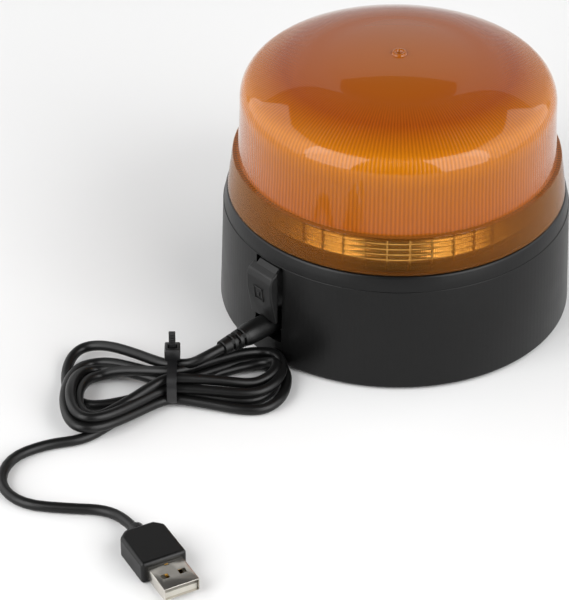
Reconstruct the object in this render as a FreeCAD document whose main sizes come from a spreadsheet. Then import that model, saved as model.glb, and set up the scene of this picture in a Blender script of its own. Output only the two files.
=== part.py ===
import FreeCAD, Part
import Sketcher
import math
import os
from FreeCAD import Placement, Rotation, Vector

# A rechargeable LED beacon with a magnetic foot, standing on its pad, with its
# charging lead plugged in.  Millimetres.  Origin: centre of the pad's underside.
# +Z is up and the charging port faces -Y.

SIZES = {
    # base housing
    "foot_gap": 0.8, "base_radius": 60.0, "wall_lean": 1.15, "collar_high": 5.55,
    "collar_step": 0.25, "collar_round": 14.0, "lip_inset": 1.95, "lip_rise": 1.05, "lip_round": 0.85,
    "seat_inset": 0.7, "weld": 0.5, "reach": 1.0,
    "deck_height": 42.8, "deck_thick": 2.4, "wall": 2.4, "base_round": 1.0, "deck_hole_radius": 10.0,
    "boss_inset": 10.0, "boss_radius": 3.6, "boss_count": 4.0, "standoff_radius": 2.8,
    # charging port recess and its jack
    "port_width": 12.8, "port_low": 8.9, "port_lintel": 4.4, "port_depth": 5.6, "port_wall": 2.0,
    "port_block_inset": 1.25,
    "jack_height": 13.7, "jack_nose_radius": 3.9, "jack_bore_radius": 1.8, "jack_width": 10.4,
    "jack_depth": 12.0, "jack_high": 9.6, "jack_clear": 0.15,
    # port cover: flap, strap and anchor
    "flap_width": 11.8, "flap_shift": -0.6, "flap_tuck": 0.3, "flap_thick": 3.5, "flap_gap": 0.2,
    "flap_drop": 0.3, "brow_drop": 1.6, "brow_inset": 0.7, "brow_round": 4.4, "cheek_drop": 4.3,
    "knee_drop": 8.4, "toe_inset": 2.0, "toe_round": 0.6, "flap_round": 1.5,
    "strap_width": 9.2, "strap_thick": 1.3, "strap_lap": 0.7,
    "strap_drop": 0.7, "hinge_set": 1.0, "hinge_drop": 1.4, "hinge_gap": 0.05, "anchor_thick": 1.6,
    "anchor_head": 3.0, "anchor_barb": 0.9, "anchor_gap": 0.2, "flap_plug_radius": 1.7,
    "flap_plug_length": 2.6, "flap_plug_up": 5.4, "slot_clear": 0.15,
    # amber lens
    "seat_step": 1.5, "flange_cover": 1.1, "flange_lean": 1.7, "flange_high": 13.2,
    "flange_ledge": 2.0, "dome_wall_high": 20.5, "dome_lean": 0.6, "shoulder_turn": 62.0,
    "dome_round": 8.9, "crown_radius": 26.8, "crown_high": 14.1,
    "crown_rise": 2.3, "lens_wall": 2.2, "nub_radius": 2.6, "nub_high": 0.7,
    "nub_taper": 0.3, "nub_pit": 0.2, "flange_round": 0.7,
    "tab_count": 2.0, "tab_width": 10.0, "tab_thick": 1.3, "tab_hook": 0.8,
    "tab_root": 1.8, "tab_clear": 0.2,
    # prism ring and gasket
    "ring_clear": 0.4, "ring_wall": 1.9, "ring_foot": 3.9, "row_pitch": 2.08, "tooth": 0.8,
    "joint_count": 45.0, "joint_width": 0.9, "joint_depth": 0.7,
    "gasket_wide": 1.15, "gasket_gap": 0.15,
    # light unit
    "board_radius": 44.0, "board_thick": 1.6, "led_count": 12.0, "led_circle": 36.0, "led_side": 5.0,
    "led_high": 1.6, "reflector_foot": 9.0, "reflector_top": 27.0, "reflector_high": 30.0,
    "reflector_wall": 1.5, "reflector_bend": 48.0, "board_bore": 7.0,
    # bottom cover, pad and magnet
    "cover_clear": 0.6, "cover_thick": 2.4, "cover_low": 1.7, "pad_clear": 2.4,
    "pad_groove": 0.6, "cup_radius": 31.0, "cup_high": 8.0, "cup_wall": 2.0, "cup_flange": 37.0,
    "cup_flange_thick": 1.5, "magnet_clear": 0.15, "magnet_bore": 6.0, "part_clear": 0.1,
    "head_recess": 1.2,
    # batteries, boards and switch
    "cell_radius": 9.2, "cell_length": 65.0, "cell_pitch": 20.0, "tray_wall": 1.8, "tray_depth": 9.0,
    "control_low": 33.0, "control_length": 56.0, "control_width": 34.0, "control_inset": 4.0,
    "button_radius": 6.6, "button_hole_radius": 6.68, "button_height": 21.0, "button_proud": 1.0,
    "button_depth": 5.1, "button_flange": 7.8, "button_flange_thick": 1.4, "button_dome": 1.2,
    "button_stroke": 1.5, "switch_side": 6.2, "switch_deep": 4.0, "rib_thick": 2.0, "rib_width": 16.0,
    "rib_low": 14.0,
    # screws
    "screw_radius": 1.25, "screw_head_radius": 2.6, "screw_head_high": 1.6, "screw_length": 10.0,
    "small_screw_length": 5.0, "screw_clear": 0.08, "led_screw_circle": 26.0, "led_screw_length": 3.6,
    "cup_screw_length": 3.6,
    # charging plug
    "plug_gap": 0.3, "plug_radius": 3.85, "plug_length": 15.8, "relief_length": 9.9,
    "relief_radius": 3.45, "relief_end_radius": 2.55, "barrel_radius": 1.75, "barrel_length": 9.5,
    "slit_first": 1.4, "slit_pitch": 2.3, "slit_wide": 0.9,
    "slit_deep": 0.9, "slit_half": 1.6, "slits_round": 4.0, "plug_round": 0.4, "plug_neck": 1.0,
    "barrel_wall": 0.5, "barrel_floor": 1.9,
    # cord, hank and tie
    "cord_radius": 1.75, "hank_left": 5.07, "hank_out": 97.8, "hank_high": 8.6, "waist_half": 7.0,
    "waist_low": 1.2, "waist_high": 10.4,
    "waist_width": 14.0, "waist_round": 4.0, "tie_width": 3.8, "tie_thick": 1.0, "tie_clear": 0.1,
    "tie_head_high": 4.6, "tie_head_wide": 5.4, "tie_head_side": 2.6, "tie_tail_radius": 1.1,
    "tie_tail_length": 7.0, "waist_slack": 0.4,
    # USB plug
    "usb_right": 46.2, "usb_out": 156.9, "usb_width": 15.4, "usb_high": 7.8, "usb_length": 18.2,
    "usb_round": 2.4, "usb_corner": 3.2,
    "usb_neck_radius": 2.9, "usb_neck_length": 3.0, "shell_width": 12.0, "shell_high": 4.5,
    "shell_length": 12.0, "shell_wall": 0.3, "tongue_high": 1.9, "tongue_width": 11.2,
    "contact_width": 1.1, "contact_length": 8.0, "contact_thick": 0.2, "contact_pitch": 2.3,
    "contact_start": 1.5, "window_start": 5.2, "window_long": 2.2, "window_side": 2.9,
    "window_half": 1.25,
}

doc = FreeCAD.newDocument("beacon")
sheet = doc.addObject("Spreadsheet::Sheet", "sizes")
for row, (alias, size) in enumerate(SIZES.items(), start=1):
    sheet.set(f"A{row}", alias)
    sheet.set(f"B{row}", str(size))
    sheet.setAlias(f"B{row}", alias)
doc.recompute()
nodes = {}


def value(text):
    """The present value of an expression in the sheet's sizes."""
    return float(sheet.evalExpression(text))


def new_body(name):
    body = doc.addObject("PartDesign::Body", name)
    body.Label = name
    nodes[name] = body
    return body


def origin_part(body, role):
    return next(item for item in body.Origin.OriginFeatures if item.Role == role)


def new_sketch(body, name, plane="XZ_Plane", offset=None):
    """A sketch on one of the body's own planes, moved along its normal by an expression."""
    sketch = body.newObject("Sketcher::SketchObject", name)
    sketch.AttachmentSupport = [(origin_part(body, plane), "")]
    sketch.MapMode = "FlatFace"
    if offset:
        sketch.setExpression("AttachmentOffset.Base.z", offset)
    return sketch


def pin_point(sketch, edge, end, across, along):
    """Hold one end of an edge at a place given by two expressions."""
    for kind, rule in (("DistanceX", across), ("DistanceY", along)):
        number = sketch.addConstraint(Sketcher.Constraint(kind, -1, 1, edge, end, value(rule)))
        sketch.setExpression(f"Constraints[{number}]", rule)


def arc_between(start, finish, radius, side):
    """The short arc from start to finish; side 1 has its centre on the left of the way."""
    chord = finish - start
    half = chord.Length / 2
    across = Vector(-chord.y, chord.x, 0).normalize() * side
    centre = (start + finish) / 2 + across * math.sqrt(max(radius ** 2 - half ** 2, 0))
    angles = [math.atan2(p.y - centre.y, p.x - centre.x) for p in (start, finish)]
    if side < 0:
        angles.reverse()
    return Part.ArcOfCircle(Part.Circle(centre, Vector(0, 0, 1), radius), angles[0], angles[1])


def outline(sketch, corners):
    """A closed outline.  A corner is (x, y) or (x, y, radius, side), where the last two
    make the edge that arrives at it an arc."""
    points = [Vector(value(c[0]), value(c[1]), 0) for c in corners]
    first = sketch.GeometryCount
    ends = []
    for index, corner in enumerate(corners):
        start, finish = points[index - 1], points[index]
        if len(corner) == 2:
            sketch.addGeometry(Part.LineSegment(start, finish), False)
            ends.append((1, 2))
            continue
        sketch.addGeometry(arc_between(start, finish, value(corner[2]), corner[3]), False)
        ends.append((1, 2) if corner[3] > 0 else (2, 1))
        edge = first + index
        number = sketch.addConstraint(Sketcher.Constraint("Radius", edge, value(corner[2])))
        sketch.setExpression(f"Constraints[{number}]", corner[2])
    for index, corner in enumerate(corners):
        edge, follower = first + index, first + (index + 1) % len(corners)
        finish_end = ends[index][1]
        start_end = ends[(index + 1) % len(corners)][0]
        sketch.addConstraint(Sketcher.Constraint("Coincident", edge, finish_end, follower, start_end))
        pin_point(sketch, edge, finish_end, corner[0], corner[1])


def rectangle(sketch, left, low, right, high):
    outline(sketch, [(left, low), (right, low), (right, high), (left, high)])


def circle(sketch, across, along, radius):
    edge = sketch.addGeometry(
        Part.Circle(Vector(value(across), value(along), 0), Vector(0, 0, 1), value(radius)), False)
    pin_point(sketch, edge, 3, across, along)
    number = sketch.addConstraint(Sketcher.Constraint("Radius", edge, value(radius)))
    sketch.setExpression(f"Constraints[{number}]", radius)


def turn(body, name, corners, kind="Revolution"):
    """A full turn of an outline about the body's Z axis; corners are (radius, height)."""
    sketch = new_sketch(body, name + "_outline")
    outline(sketch, corners)
    feature = body.newObject("PartDesign::" + kind, name)
    feature.Profile = sketch
    feature.ReferenceAxis = (sketch, ["V_Axis"])
    feature.Angle = 360
    body.Tip = feature
    return feature


def extrude(body, name, plane, offset, length, draw, kind="Pad", backward=False):
    """A pad or pocket of what draw() puts in a sketch on the plane at the offset."""
    sketch = new_sketch(body, name + "_outline", plane, offset)
    draw(sketch)
    feature = body.newObject("PartDesign::" + kind, name)
    feature.Profile = sketch
    feature.setExpression("Length", length)
    feature.Reversed = backward
    body.Tip = feature
    return feature


def polar(body, features, count):
    """Repeat features round the body's Z axis."""
    pattern = body.newObject("PartDesign::PolarPattern", features[0].Name + "_round")
    pattern.Originals = features
    pattern.Axis = (origin_part(body, "Z_Axis"), [""])
    pattern.Angle = 360
    pattern.setExpression("Occurrences", count)
    body.Tip = pattern
    return pattern


def solid_node(name, feature):
    """A Part object that is a sub-part by itself."""
    feature.Label = name
    nodes[name] = feature
    return feature


def screw_group(name, circle_radius, count, seat, length, first_angle, down=False):
    """Pan-head screws on a circle: the head's seat is at the given height."""
    body = new_body(name)
    shank = extrude(body, name + "_shank", "XY_Plane", seat, length,
                    lambda s: circle(s, circle_radius, "0", "sizes.screw_radius"), backward=not down)
    head = extrude(body, name + "_head", "XY_Plane", seat, "sizes.screw_head_high",
                   lambda s: circle(s, circle_radius, "0", "sizes.screw_head_radius"), backward=down)
    polar(body, [shank, head], count)
    body.Placement = Placement(Vector(0, 0, 0), Rotation(Vector(0, 0, 1), first_angle))
    return body


def disc(name, bore, radius, low, high):
    """A flat ring or disc as one turned body."""
    body = new_body(name)
    turn(body, name + "_turned", [(bore, low), (radius, low), (radius, high), (bore, high)])
    return body


def four_at(sketch, across, along, radius):
    """Circles at the four corners of a rectangle."""
    for x_sign in ("", "-"):
        for y_sign in ("", "-"):
            circle(sketch, f"{x_sign}({across})", f"{y_sign}({along})", radius)


# Radii and depths, from the outside of the housing inward.
SHOULDER_RADIUS = "(sizes.base_radius - sizes.wall_lean)"
LIP_RADIUS = f"({SHOULDER_RADIUS} - sizes.lip_inset)"
SEAT_RADIUS = f"({LIP_RADIUS} - sizes.seat_inset)"
GASKET_INNER = f"({SEAT_RADIUS} - sizes.gasket_gap - sizes.gasket_wide)"
TAB_BACK = f"sqrt(({GASKET_INNER} - sizes.tab_clear)^2 - (sizes.tab_width / 2)^2)"
TAB_FACE = f"({TAB_BACK} - sizes.tab_thick)"
FLANGE_RADIUS = f"({SEAT_RADIUS} + sizes.flange_cover)"
FLANGE_TOP_RADIUS = f"({FLANGE_RADIUS} - sizes.flange_lean)"
RING_OUTER = f"({FLANGE_TOP_RADIUS} - sizes.lens_wall - sizes.ring_clear)"
DOME_RADIUS = f"({FLANGE_TOP_RADIUS} - sizes.flange_ledge)"
DOME_TOP_RADIUS = f"({DOME_RADIUS} - sizes.dome_lean)"
COVER_RADIUS = "(sizes.base_radius - sizes.wall - sizes.cover_clear)"
BOSS_CIRCLE = f"({COVER_RADIUS} - sizes.boss_inset)"
PAD_RADIUS = f"({BOSS_CIRCLE} - sizes.screw_head_radius - sizes.pad_clear)"
BUTTON_OUT = "(sizes.base_radius + sizes.button_proud)"
BUTTON_BACK = "(sizes.base_radius - sizes.button_depth)"
PORT_FACE = "(sizes.base_radius - sizes.port_depth)"
PLUG_FRONT = f"({PORT_FACE} + sizes.plug_gap)"
FLAP_BACK = "(sizes.base_radius - sizes.flap_tuck)"
FLAP_FRONT = f"({FLAP_BACK} + sizes.flap_thick)"
HINGE_OUT = f"({FLAP_BACK} - sizes.hinge_set)"
# Heights, from the deck up and down.
DECK = "sizes.deck_height"
DECK_LOW = "(sizes.deck_height - sizes.deck_thick)"
LIP_TOP = f"({DECK} + sizes.lip_rise)"
SHOULDER_HEIGHT = f"({LIP_TOP} - sizes.collar_high)"
LENS_BOTTOM = f"({DECK} + sizes.seat_step)"
FLANGE_TOP_HEIGHT = f"({LENS_BOTTOM} + sizes.flange_high)"
DOME_WALL_TOP = f"({FLANGE_TOP_HEIGHT} + sizes.dome_wall_high)"
CROWN_EDGE = f"({DOME_WALL_TOP} + sizes.crown_high)"
PORT_TOP = f"({DECK} - sizes.port_lintel)"
HINGE_HEIGHT = f"({PORT_TOP} - sizes.hinge_drop)"
FLAP_TOP = f"({HINGE_HEIGHT} - sizes.flap_drop)"
FLAP_LOW = "(sizes.jack_height + sizes.plug_radius + sizes.flap_gap)"
COVER_TOP = "(sizes.cover_low + sizes.cover_thick)"
SCREW_HOLE = "sizes.screw_radius + sizes.screw_clear"
DIAGONAL = f"{BOSS_CIRCLE} * sqrt(0.5)"
PORT_HALF = "sizes.port_width / 2"
PORT_BACK = f"({PORT_FACE} - sizes.port_wall)"
PORT_BLOCK = f"({SHOULDER_RADIUS} - sizes.port_block_inset - {PORT_FACE} + sizes.port_wall)"
OUTSIDE = "(sizes.base_radius + sizes.reach)"
STRAP_HALF = "sizes.strap_width / 2"
CONTROL_X = "sizes.control_length / 2 - sizes.control_inset"
CONTROL_Y = "sizes.control_width / 2 - sizes.control_inset"
CONTROL_TOP = "(sizes.control_low + sizes.board_thick)"
SWITCH_FRONT = f"({BUTTON_BACK} - sizes.button_stroke)"
RIB_FRONT = f"({BUTTON_BACK} - sizes.button_stroke - sizes.switch_deep)"
BOARD_TOP = "(sizes.deck_height + sizes.board_thick)"
CUP_TOP = "(sizes.cover_low + sizes.cup_high)"
CUP_SCREWS = "(sizes.cup_radius + sizes.cup_flange) / 2"
FLANGE_TOP = f"({COVER_TOP} + sizes.cup_flange_thick)"
CELL_HEIGHT = f"({CUP_TOP} + sizes.tray_wall + sizes.cell_radius + sizes.part_clear)"


def base_housing():
    """Moulded cup, open below: wall, rounded collar, lens seat, deck, bosses and port."""
    body = new_body("base_housing")
    turn(body, "shell", [
        ("sizes.base_radius - sizes.wall", "sizes.foot_gap"),
        ("sizes.base_radius - sizes.base_round", "sizes.foot_gap"),
        ("sizes.base_radius", "sizes.foot_gap + sizes.base_round", "sizes.base_round", 1),
        (SHOULDER_RADIUS, SHOULDER_HEIGHT),
        (f"{SHOULDER_RADIUS} - sizes.collar_step", f"{SHOULDER_HEIGHT} + sizes.collar_step",
         "sizes.collar_step", 1),
        (f"{LIP_RADIUS} + sizes.lip_round", f"{LIP_TOP} - sizes.lip_round",
         "sizes.collar_round", 1),
        (LIP_RADIUS, LIP_TOP, "sizes.lip_round", 1),
        (SEAT_RADIUS, LIP_TOP),
        (SEAT_RADIUS, DECK),
        ("sizes.deck_hole_radius", DECK),
        ("sizes.deck_hole_radius", DECK_LOW),
        (f"{SHOULDER_RADIUS} - sizes.wall", DECK_LOW),
    ])
    boss = extrude(body, "boss", "XY_Plane", COVER_TOP, f"{DECK_LOW} - {COVER_TOP} + sizes.weld",
                   lambda s: circle(s, DIAGONAL, DIAGONAL, "sizes.boss_radius"))
    polar(body, [boss], "sizes.boss_count")
    extrude(body, "standoff", "XY_Plane", CONTROL_TOP, f"{DECK_LOW} - {CONTROL_TOP} + sizes.weld",
            lambda s: four_at(s, CONTROL_X, CONTROL_Y, "sizes.standoff_radius"))
    extrude(body, "switch_rib", "XZ_Plane", f"-{RIB_FRONT}", "sizes.rib_thick",
            lambda s: rectangle(s, "-sizes.rib_width / 2", "sizes.rib_low",
                                "sizes.rib_width / 2", f"{DECK_LOW} + sizes.weld"))
    extrude(body, "port_block", "XZ_Plane", PORT_BACK, PORT_BLOCK,
            lambda s: rectangle(s, f"-({PORT_HALF} + sizes.port_wall)", "sizes.port_low - sizes.port_wall",
                                f"{PORT_HALF} + sizes.port_wall", f"{DECK_LOW} + sizes.weld"))
    hole = extrude(body, "boss_hole", "XY_Plane", COVER_TOP, "sizes.screw_length",
                   lambda s: circle(s, DIAGONAL, DIAGONAL, SCREW_HOLE), "Pocket", True)
    polar(body, [hole], "sizes.boss_count")
    extrude(body, "standoff_hole", "XY_Plane", CONTROL_TOP, "sizes.small_screw_length",
            lambda s: four_at(s, CONTROL_X, CONTROL_Y, SCREW_HOLE), "Pocket", True)
    led_hole = extrude(body, "led_screw_hole", "XY_Plane", DECK, "sizes.deck_thick",
                       lambda s: circle(s, "sizes.led_screw_circle * sqrt(0.5)",
                                        "sizes.led_screw_circle * sqrt(0.5)", SCREW_HOLE), "Pocket")
    polar(body, [led_hole], "sizes.boss_count")
    slot = extrude(body, "tab_slot", "XY_Plane", DECK, "sizes.deck_thick",
                   lambda s: rectangle(s, f"{TAB_FACE} - sizes.tab_clear",
                                       "-(sizes.tab_width / 2 + sizes.tab_clear)",
                                       f"{TAB_FACE} + sizes.tab_thick + sizes.tab_clear",
                                       "sizes.tab_width / 2 + sizes.tab_clear"), "Pocket")
    polar(body, [slot], "sizes.tab_count")
    extrude(body, "port_recess", "XZ_Plane", OUTSIDE, f"{OUTSIDE} - {PORT_FACE}",
            lambda s: rectangle(s, f"-{PORT_HALF}", "sizes.port_low", PORT_HALF, PORT_TOP),
            "Pocket")
    extrude(body, "jack_hole", "XZ_Plane", PORT_FACE, "sizes.port_wall",
            lambda s: circle(s, "0", "sizes.jack_height", "sizes.jack_nose_radius + sizes.jack_clear"),
            "Pocket")
    extrude(body, "anchor_slot", "XZ_Plane", PORT_FACE, "sizes.port_wall",
            lambda s: rectangle(s, f"-({STRAP_HALF} + sizes.slot_clear)",
                                f"{HINGE_HEIGHT} - sizes.anchor_thick / 2 - sizes.slot_clear",
                                f"{STRAP_HALF} + sizes.slot_clear",
                                f"{HINGE_HEIGHT} + sizes.anchor_thick / 2 + sizes.slot_clear"),
            "Pocket")
    extrude(body, "button_hole", "XZ_Plane", f"-{OUTSIDE}", f"{OUTSIDE} - {RIB_FRONT}",
            lambda s: circle(s, "0", "sizes.button_height", "sizes.button_hole_radius"), "Pocket", True)
    return body


def bottom_parts():
    """Cover, rubber pad, pot magnet and their screws."""
    cover = disc("bottom_cover", "sizes.cup_radius + sizes.part_clear", COVER_RADIUS,
                 "sizes.cover_low", COVER_TOP)
    holes = extrude(cover, "cover_hole", "XY_Plane", "sizes.cover_low", "sizes.cover_thick",
                    lambda s: circle(s, DIAGONAL, DIAGONAL, SCREW_HOLE), "Pocket", True)
    recess = extrude(cover, "head_recess", "XY_Plane", "sizes.cover_low", "sizes.head_recess",
                     lambda s: circle(s, DIAGONAL, DIAGONAL, "sizes.screw_head_radius + sizes.part_clear"),
                     "Pocket", True)
    polar(cover, [holes, recess], "sizes.boss_count")
    cup_holes = extrude(cover, "cup_screw_hole", "XY_Plane", COVER_TOP, "sizes.cover_thick",
                        lambda s: circle(s, CUP_SCREWS, "0", SCREW_HOLE), "Pocket")
    polar(cover, [cup_holes], "sizes.boss_count")

    pad = new_body("rubber_pad")
    turn(pad, "pad_disc", [("0", "0"), (f"{PAD_RADIUS} - sizes.pad_groove", "0"),
                           (PAD_RADIUS, "sizes.pad_groove", "sizes.pad_groove", 1),
                           (PAD_RADIUS, "sizes.cover_low"), ("0", "sizes.cover_low")])
    for name, share in (("outer", 0.85), ("inner", 0.6)):
        turn(pad, name + "_groove", [
            (f"{PAD_RADIUS} * {share} - sizes.pad_groove", "0"),
            (f"{PAD_RADIUS} * {share} + sizes.pad_groove", "0"),
            (f"{PAD_RADIUS} * {share}", "sizes.pad_groove")], "Groove")

    cup = new_body("magnet_cup")
    inner = "sizes.cup_radius - sizes.cup_wall"
    turn(cup, "cup_turned", [
        (inner, "sizes.cover_low"), ("sizes.cup_radius", "sizes.cover_low"), ("sizes.cup_radius", COVER_TOP),
        ("sizes.cup_flange", COVER_TOP), ("sizes.cup_flange", FLANGE_TOP), ("sizes.cup_radius", FLANGE_TOP),
        ("sizes.cup_radius", CUP_TOP), ("0", CUP_TOP), ("0", f"{CUP_TOP} - sizes.cup_wall"),
        (inner, f"{CUP_TOP} - sizes.cup_wall")])
    hole = extrude(cup, "flange_hole", "XY_Plane", FLANGE_TOP, "sizes.cup_flange_thick",
                   lambda s: circle(s, CUP_SCREWS, "0", SCREW_HOLE), "Pocket")
    polar(cup, [hole], "sizes.boss_count")
    disc("magnet", "sizes.magnet_bore", f"{inner} - sizes.magnet_clear", "sizes.cover_low",
         f"{CUP_TOP} - sizes.cup_wall")
    screw_group("cover_screws", BOSS_CIRCLE, "sizes.boss_count",
                "sizes.cover_low + sizes.head_recess", "sizes.screw_length", 45, down=True)
    screw_group("magnet_screws", CUP_SCREWS, "sizes.boss_count", FLANGE_TOP,
                "sizes.cup_screw_length", 0)


def tangent_radius(start, finish, turned):
    """Radius, as an expression, of the arc from start to finish that leaves start on the
    tangent of a circle that has turned that far from the upright."""
    run = f"({start[0]} - ({finish[0]}))"
    rise = f"({finish[1]} - ({start[1]}))"
    return f"({run}^2 + {rise}^2) / (2 * abs({run} * cos({turned}) - {rise} * sin({turned})))"


def dome_side(inset):
    """Corners of the dome's side, from its foot up to the crown's edge, for the surface
    that lies the given distance inside the outer one."""
    turned = "(sizes.shoulder_turn * 1deg)"
    bend = f"(sizes.dome_round - {inset})"
    middle = (f"({DOME_TOP_RADIUS} - sizes.dome_round + {bend} * cos{turned})",
              f"({DOME_WALL_TOP} + {bend} * sin{turned})")
    crown = ("sizes.crown_radius", f"({CROWN_EDGE} - {inset})")
    return [
        (f"{DOME_RADIUS} - {inset}", f"{FLANGE_TOP_HEIGHT} - {inset}"),
        (f"{DOME_TOP_RADIUS} - {inset}", DOME_WALL_TOP),
        (middle[0], middle[1], bend, 1),
        (crown[0], crown[1], tangent_radius(middle, crown, turned), 1),
    ]


def amber_lens():
    """Dome with a slightly raised crown, a gate nub, a flange wall and two snap tabs."""
    body = new_body("lens")
    crown_top = f"({CROWN_EDGE} + sizes.crown_rise)"
    crown_round = "((sizes.crown_radius^2 + sizes.crown_rise^2) / (2 * sizes.crown_rise))"
    outer = dome_side("0")
    inner = dome_side("sizes.lens_wall")
    inner_back = [inner[3][:2], inner[2][:2] + (inner[3][2], -1), inner[1] + (inner[2][2], -1), inner[0]]
    turn(body, "dome", [
        (f"{FLANGE_RADIUS} - sizes.lens_wall", LENS_BOTTOM),
        (FLANGE_RADIUS, LENS_BOTTOM),
        (FLANGE_TOP_RADIUS, f"{FLANGE_TOP_HEIGHT} - sizes.flange_round"),
        (f"{FLANGE_TOP_RADIUS} - sizes.flange_round", FLANGE_TOP_HEIGHT,
         "sizes.flange_round * 1.05", 1),
        *outer,
        ("sizes.nub_radius", crown_top, crown_round, 1),
        ("sizes.nub_radius - sizes.nub_taper", f"{crown_top} + sizes.nub_high"),
        ("sizes.nub_radius / 2", f"{crown_top} + sizes.nub_high"),
        ("sizes.nub_radius / 3", f"{crown_top} - sizes.nub_pit"),
        ("0", f"{crown_top} - sizes.nub_pit"),
        ("0", f"{crown_top} - sizes.lens_wall"),
        *inner_back,
        (f"{FLANGE_TOP_RADIUS} - sizes.lens_wall", f"{FLANGE_TOP_HEIGHT} - sizes.lens_wall"),
    ])
    face, back = TAB_FACE, f"{TAB_FACE} + sizes.tab_thick"
    hook_top = f"{DECK_LOW} - sizes.part_clear"
    tab = extrude(body, "snap_tab", "XZ_Plane", "-sizes.tab_width / 2", "sizes.tab_width",
                  lambda s: outline(s, [
                      (face, f"{hook_top} - sizes.tab_root"),
                      (back, f"{hook_top} - sizes.tab_root"),
                      (f"{back} + sizes.tab_hook", hook_top),
                      (back, hook_top),
                      (back, f"{LENS_BOTTOM} + sizes.part_clear"),
                      (f"{FLANGE_RADIUS} - sizes.lens_wall / 2", f"{LENS_BOTTOM} + sizes.part_clear"),
                      (f"{FLANGE_RADIUS} - sizes.lens_wall / 2", f"{LENS_BOTTOM} + sizes.tab_root"),
                      (face, f"{LENS_BOTTOM} + sizes.tab_root")]))
    polar(body, [tab], "sizes.tab_count")
    return body


ROWS = 4


def prism_ring():
    """Light ring behind the flange: rows of prisms outside, upright joints inside."""
    body = new_body("prism_ring")
    outside, inside = RING_OUTER, f"{RING_OUTER} - sizes.ring_wall"
    first = "sizes.deck_height + sizes.ring_foot"
    teeth = []
    for row in range(ROWS):
        teeth.append((outside, f"{first} + {row} * sizes.row_pitch"))
        teeth.append((f"{outside} - sizes.tooth", f"{first} + {row + 1} * sizes.row_pitch"))
    top = f"{first} + {ROWS} * sizes.row_pitch"
    turn(body, "ring_turned", [(inside, DECK), (outside, DECK), *teeth, (inside, top)])
    joint = extrude(body, "joint", "XY_Plane", top, f"{ROWS} * sizes.row_pitch",
                    lambda s: rectangle(s, f"{inside} - sizes.reach", "-sizes.joint_width / 2",
                                        f"{inside} + sizes.joint_depth", "sizes.joint_width / 2"), "Pocket")
    polar(body, [joint], "sizes.joint_count")
    return body


def light_unit():
    """Gasket, LED board with its LEDs and screws, and the funnel reflector."""
    disc("lens_gasket", GASKET_INNER, f"{SEAT_RADIUS} - sizes.gasket_gap", DECK,
         f"{LENS_BOTTOM} - sizes.part_clear")
    board = disc("led_board", "sizes.board_bore", "sizes.board_radius", DECK, BOARD_TOP)
    place = "sizes.led_screw_circle * sqrt(0.5)"
    hole = extrude(board, "board_hole", "XY_Plane", BOARD_TOP, "sizes.board_thick",
                   lambda s: circle(s, place, place, SCREW_HOLE), "Pocket")
    polar(board, [hole], "sizes.boss_count")
    leds = new_body("leds")
    led = extrude(leds, "led", "XY_Plane", BOARD_TOP, "sizes.led_high",
                  lambda s: rectangle(s, "sizes.led_circle - sizes.led_side / 2", "-sizes.led_side / 2",
                                      "sizes.led_circle + sizes.led_side / 2", "sizes.led_side / 2"))
    polar(leds, [led], "sizes.led_count")
    screw_group("led_board_screws", "sizes.led_screw_circle", "sizes.boss_count", BOARD_TOP,
                "sizes.led_screw_length", 45)
    reflector = new_body("reflector")
    top = f"{BOARD_TOP} + sizes.reflector_high"
    turn(reflector, "funnel", [
        ("0", BOARD_TOP), ("sizes.reflector_foot", BOARD_TOP),
        ("sizes.reflector_top", top, "sizes.reflector_bend", -1),
        ("sizes.reflector_top - sizes.reflector_wall", top),
        ("sizes.reflector_foot - sizes.reflector_wall", f"{BOARD_TOP} + sizes.reflector_wall",
         "sizes.reflector_bend + sizes.reflector_wall", 1),
        ("0", f"{BOARD_TOP} + sizes.reflector_wall")])


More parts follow.
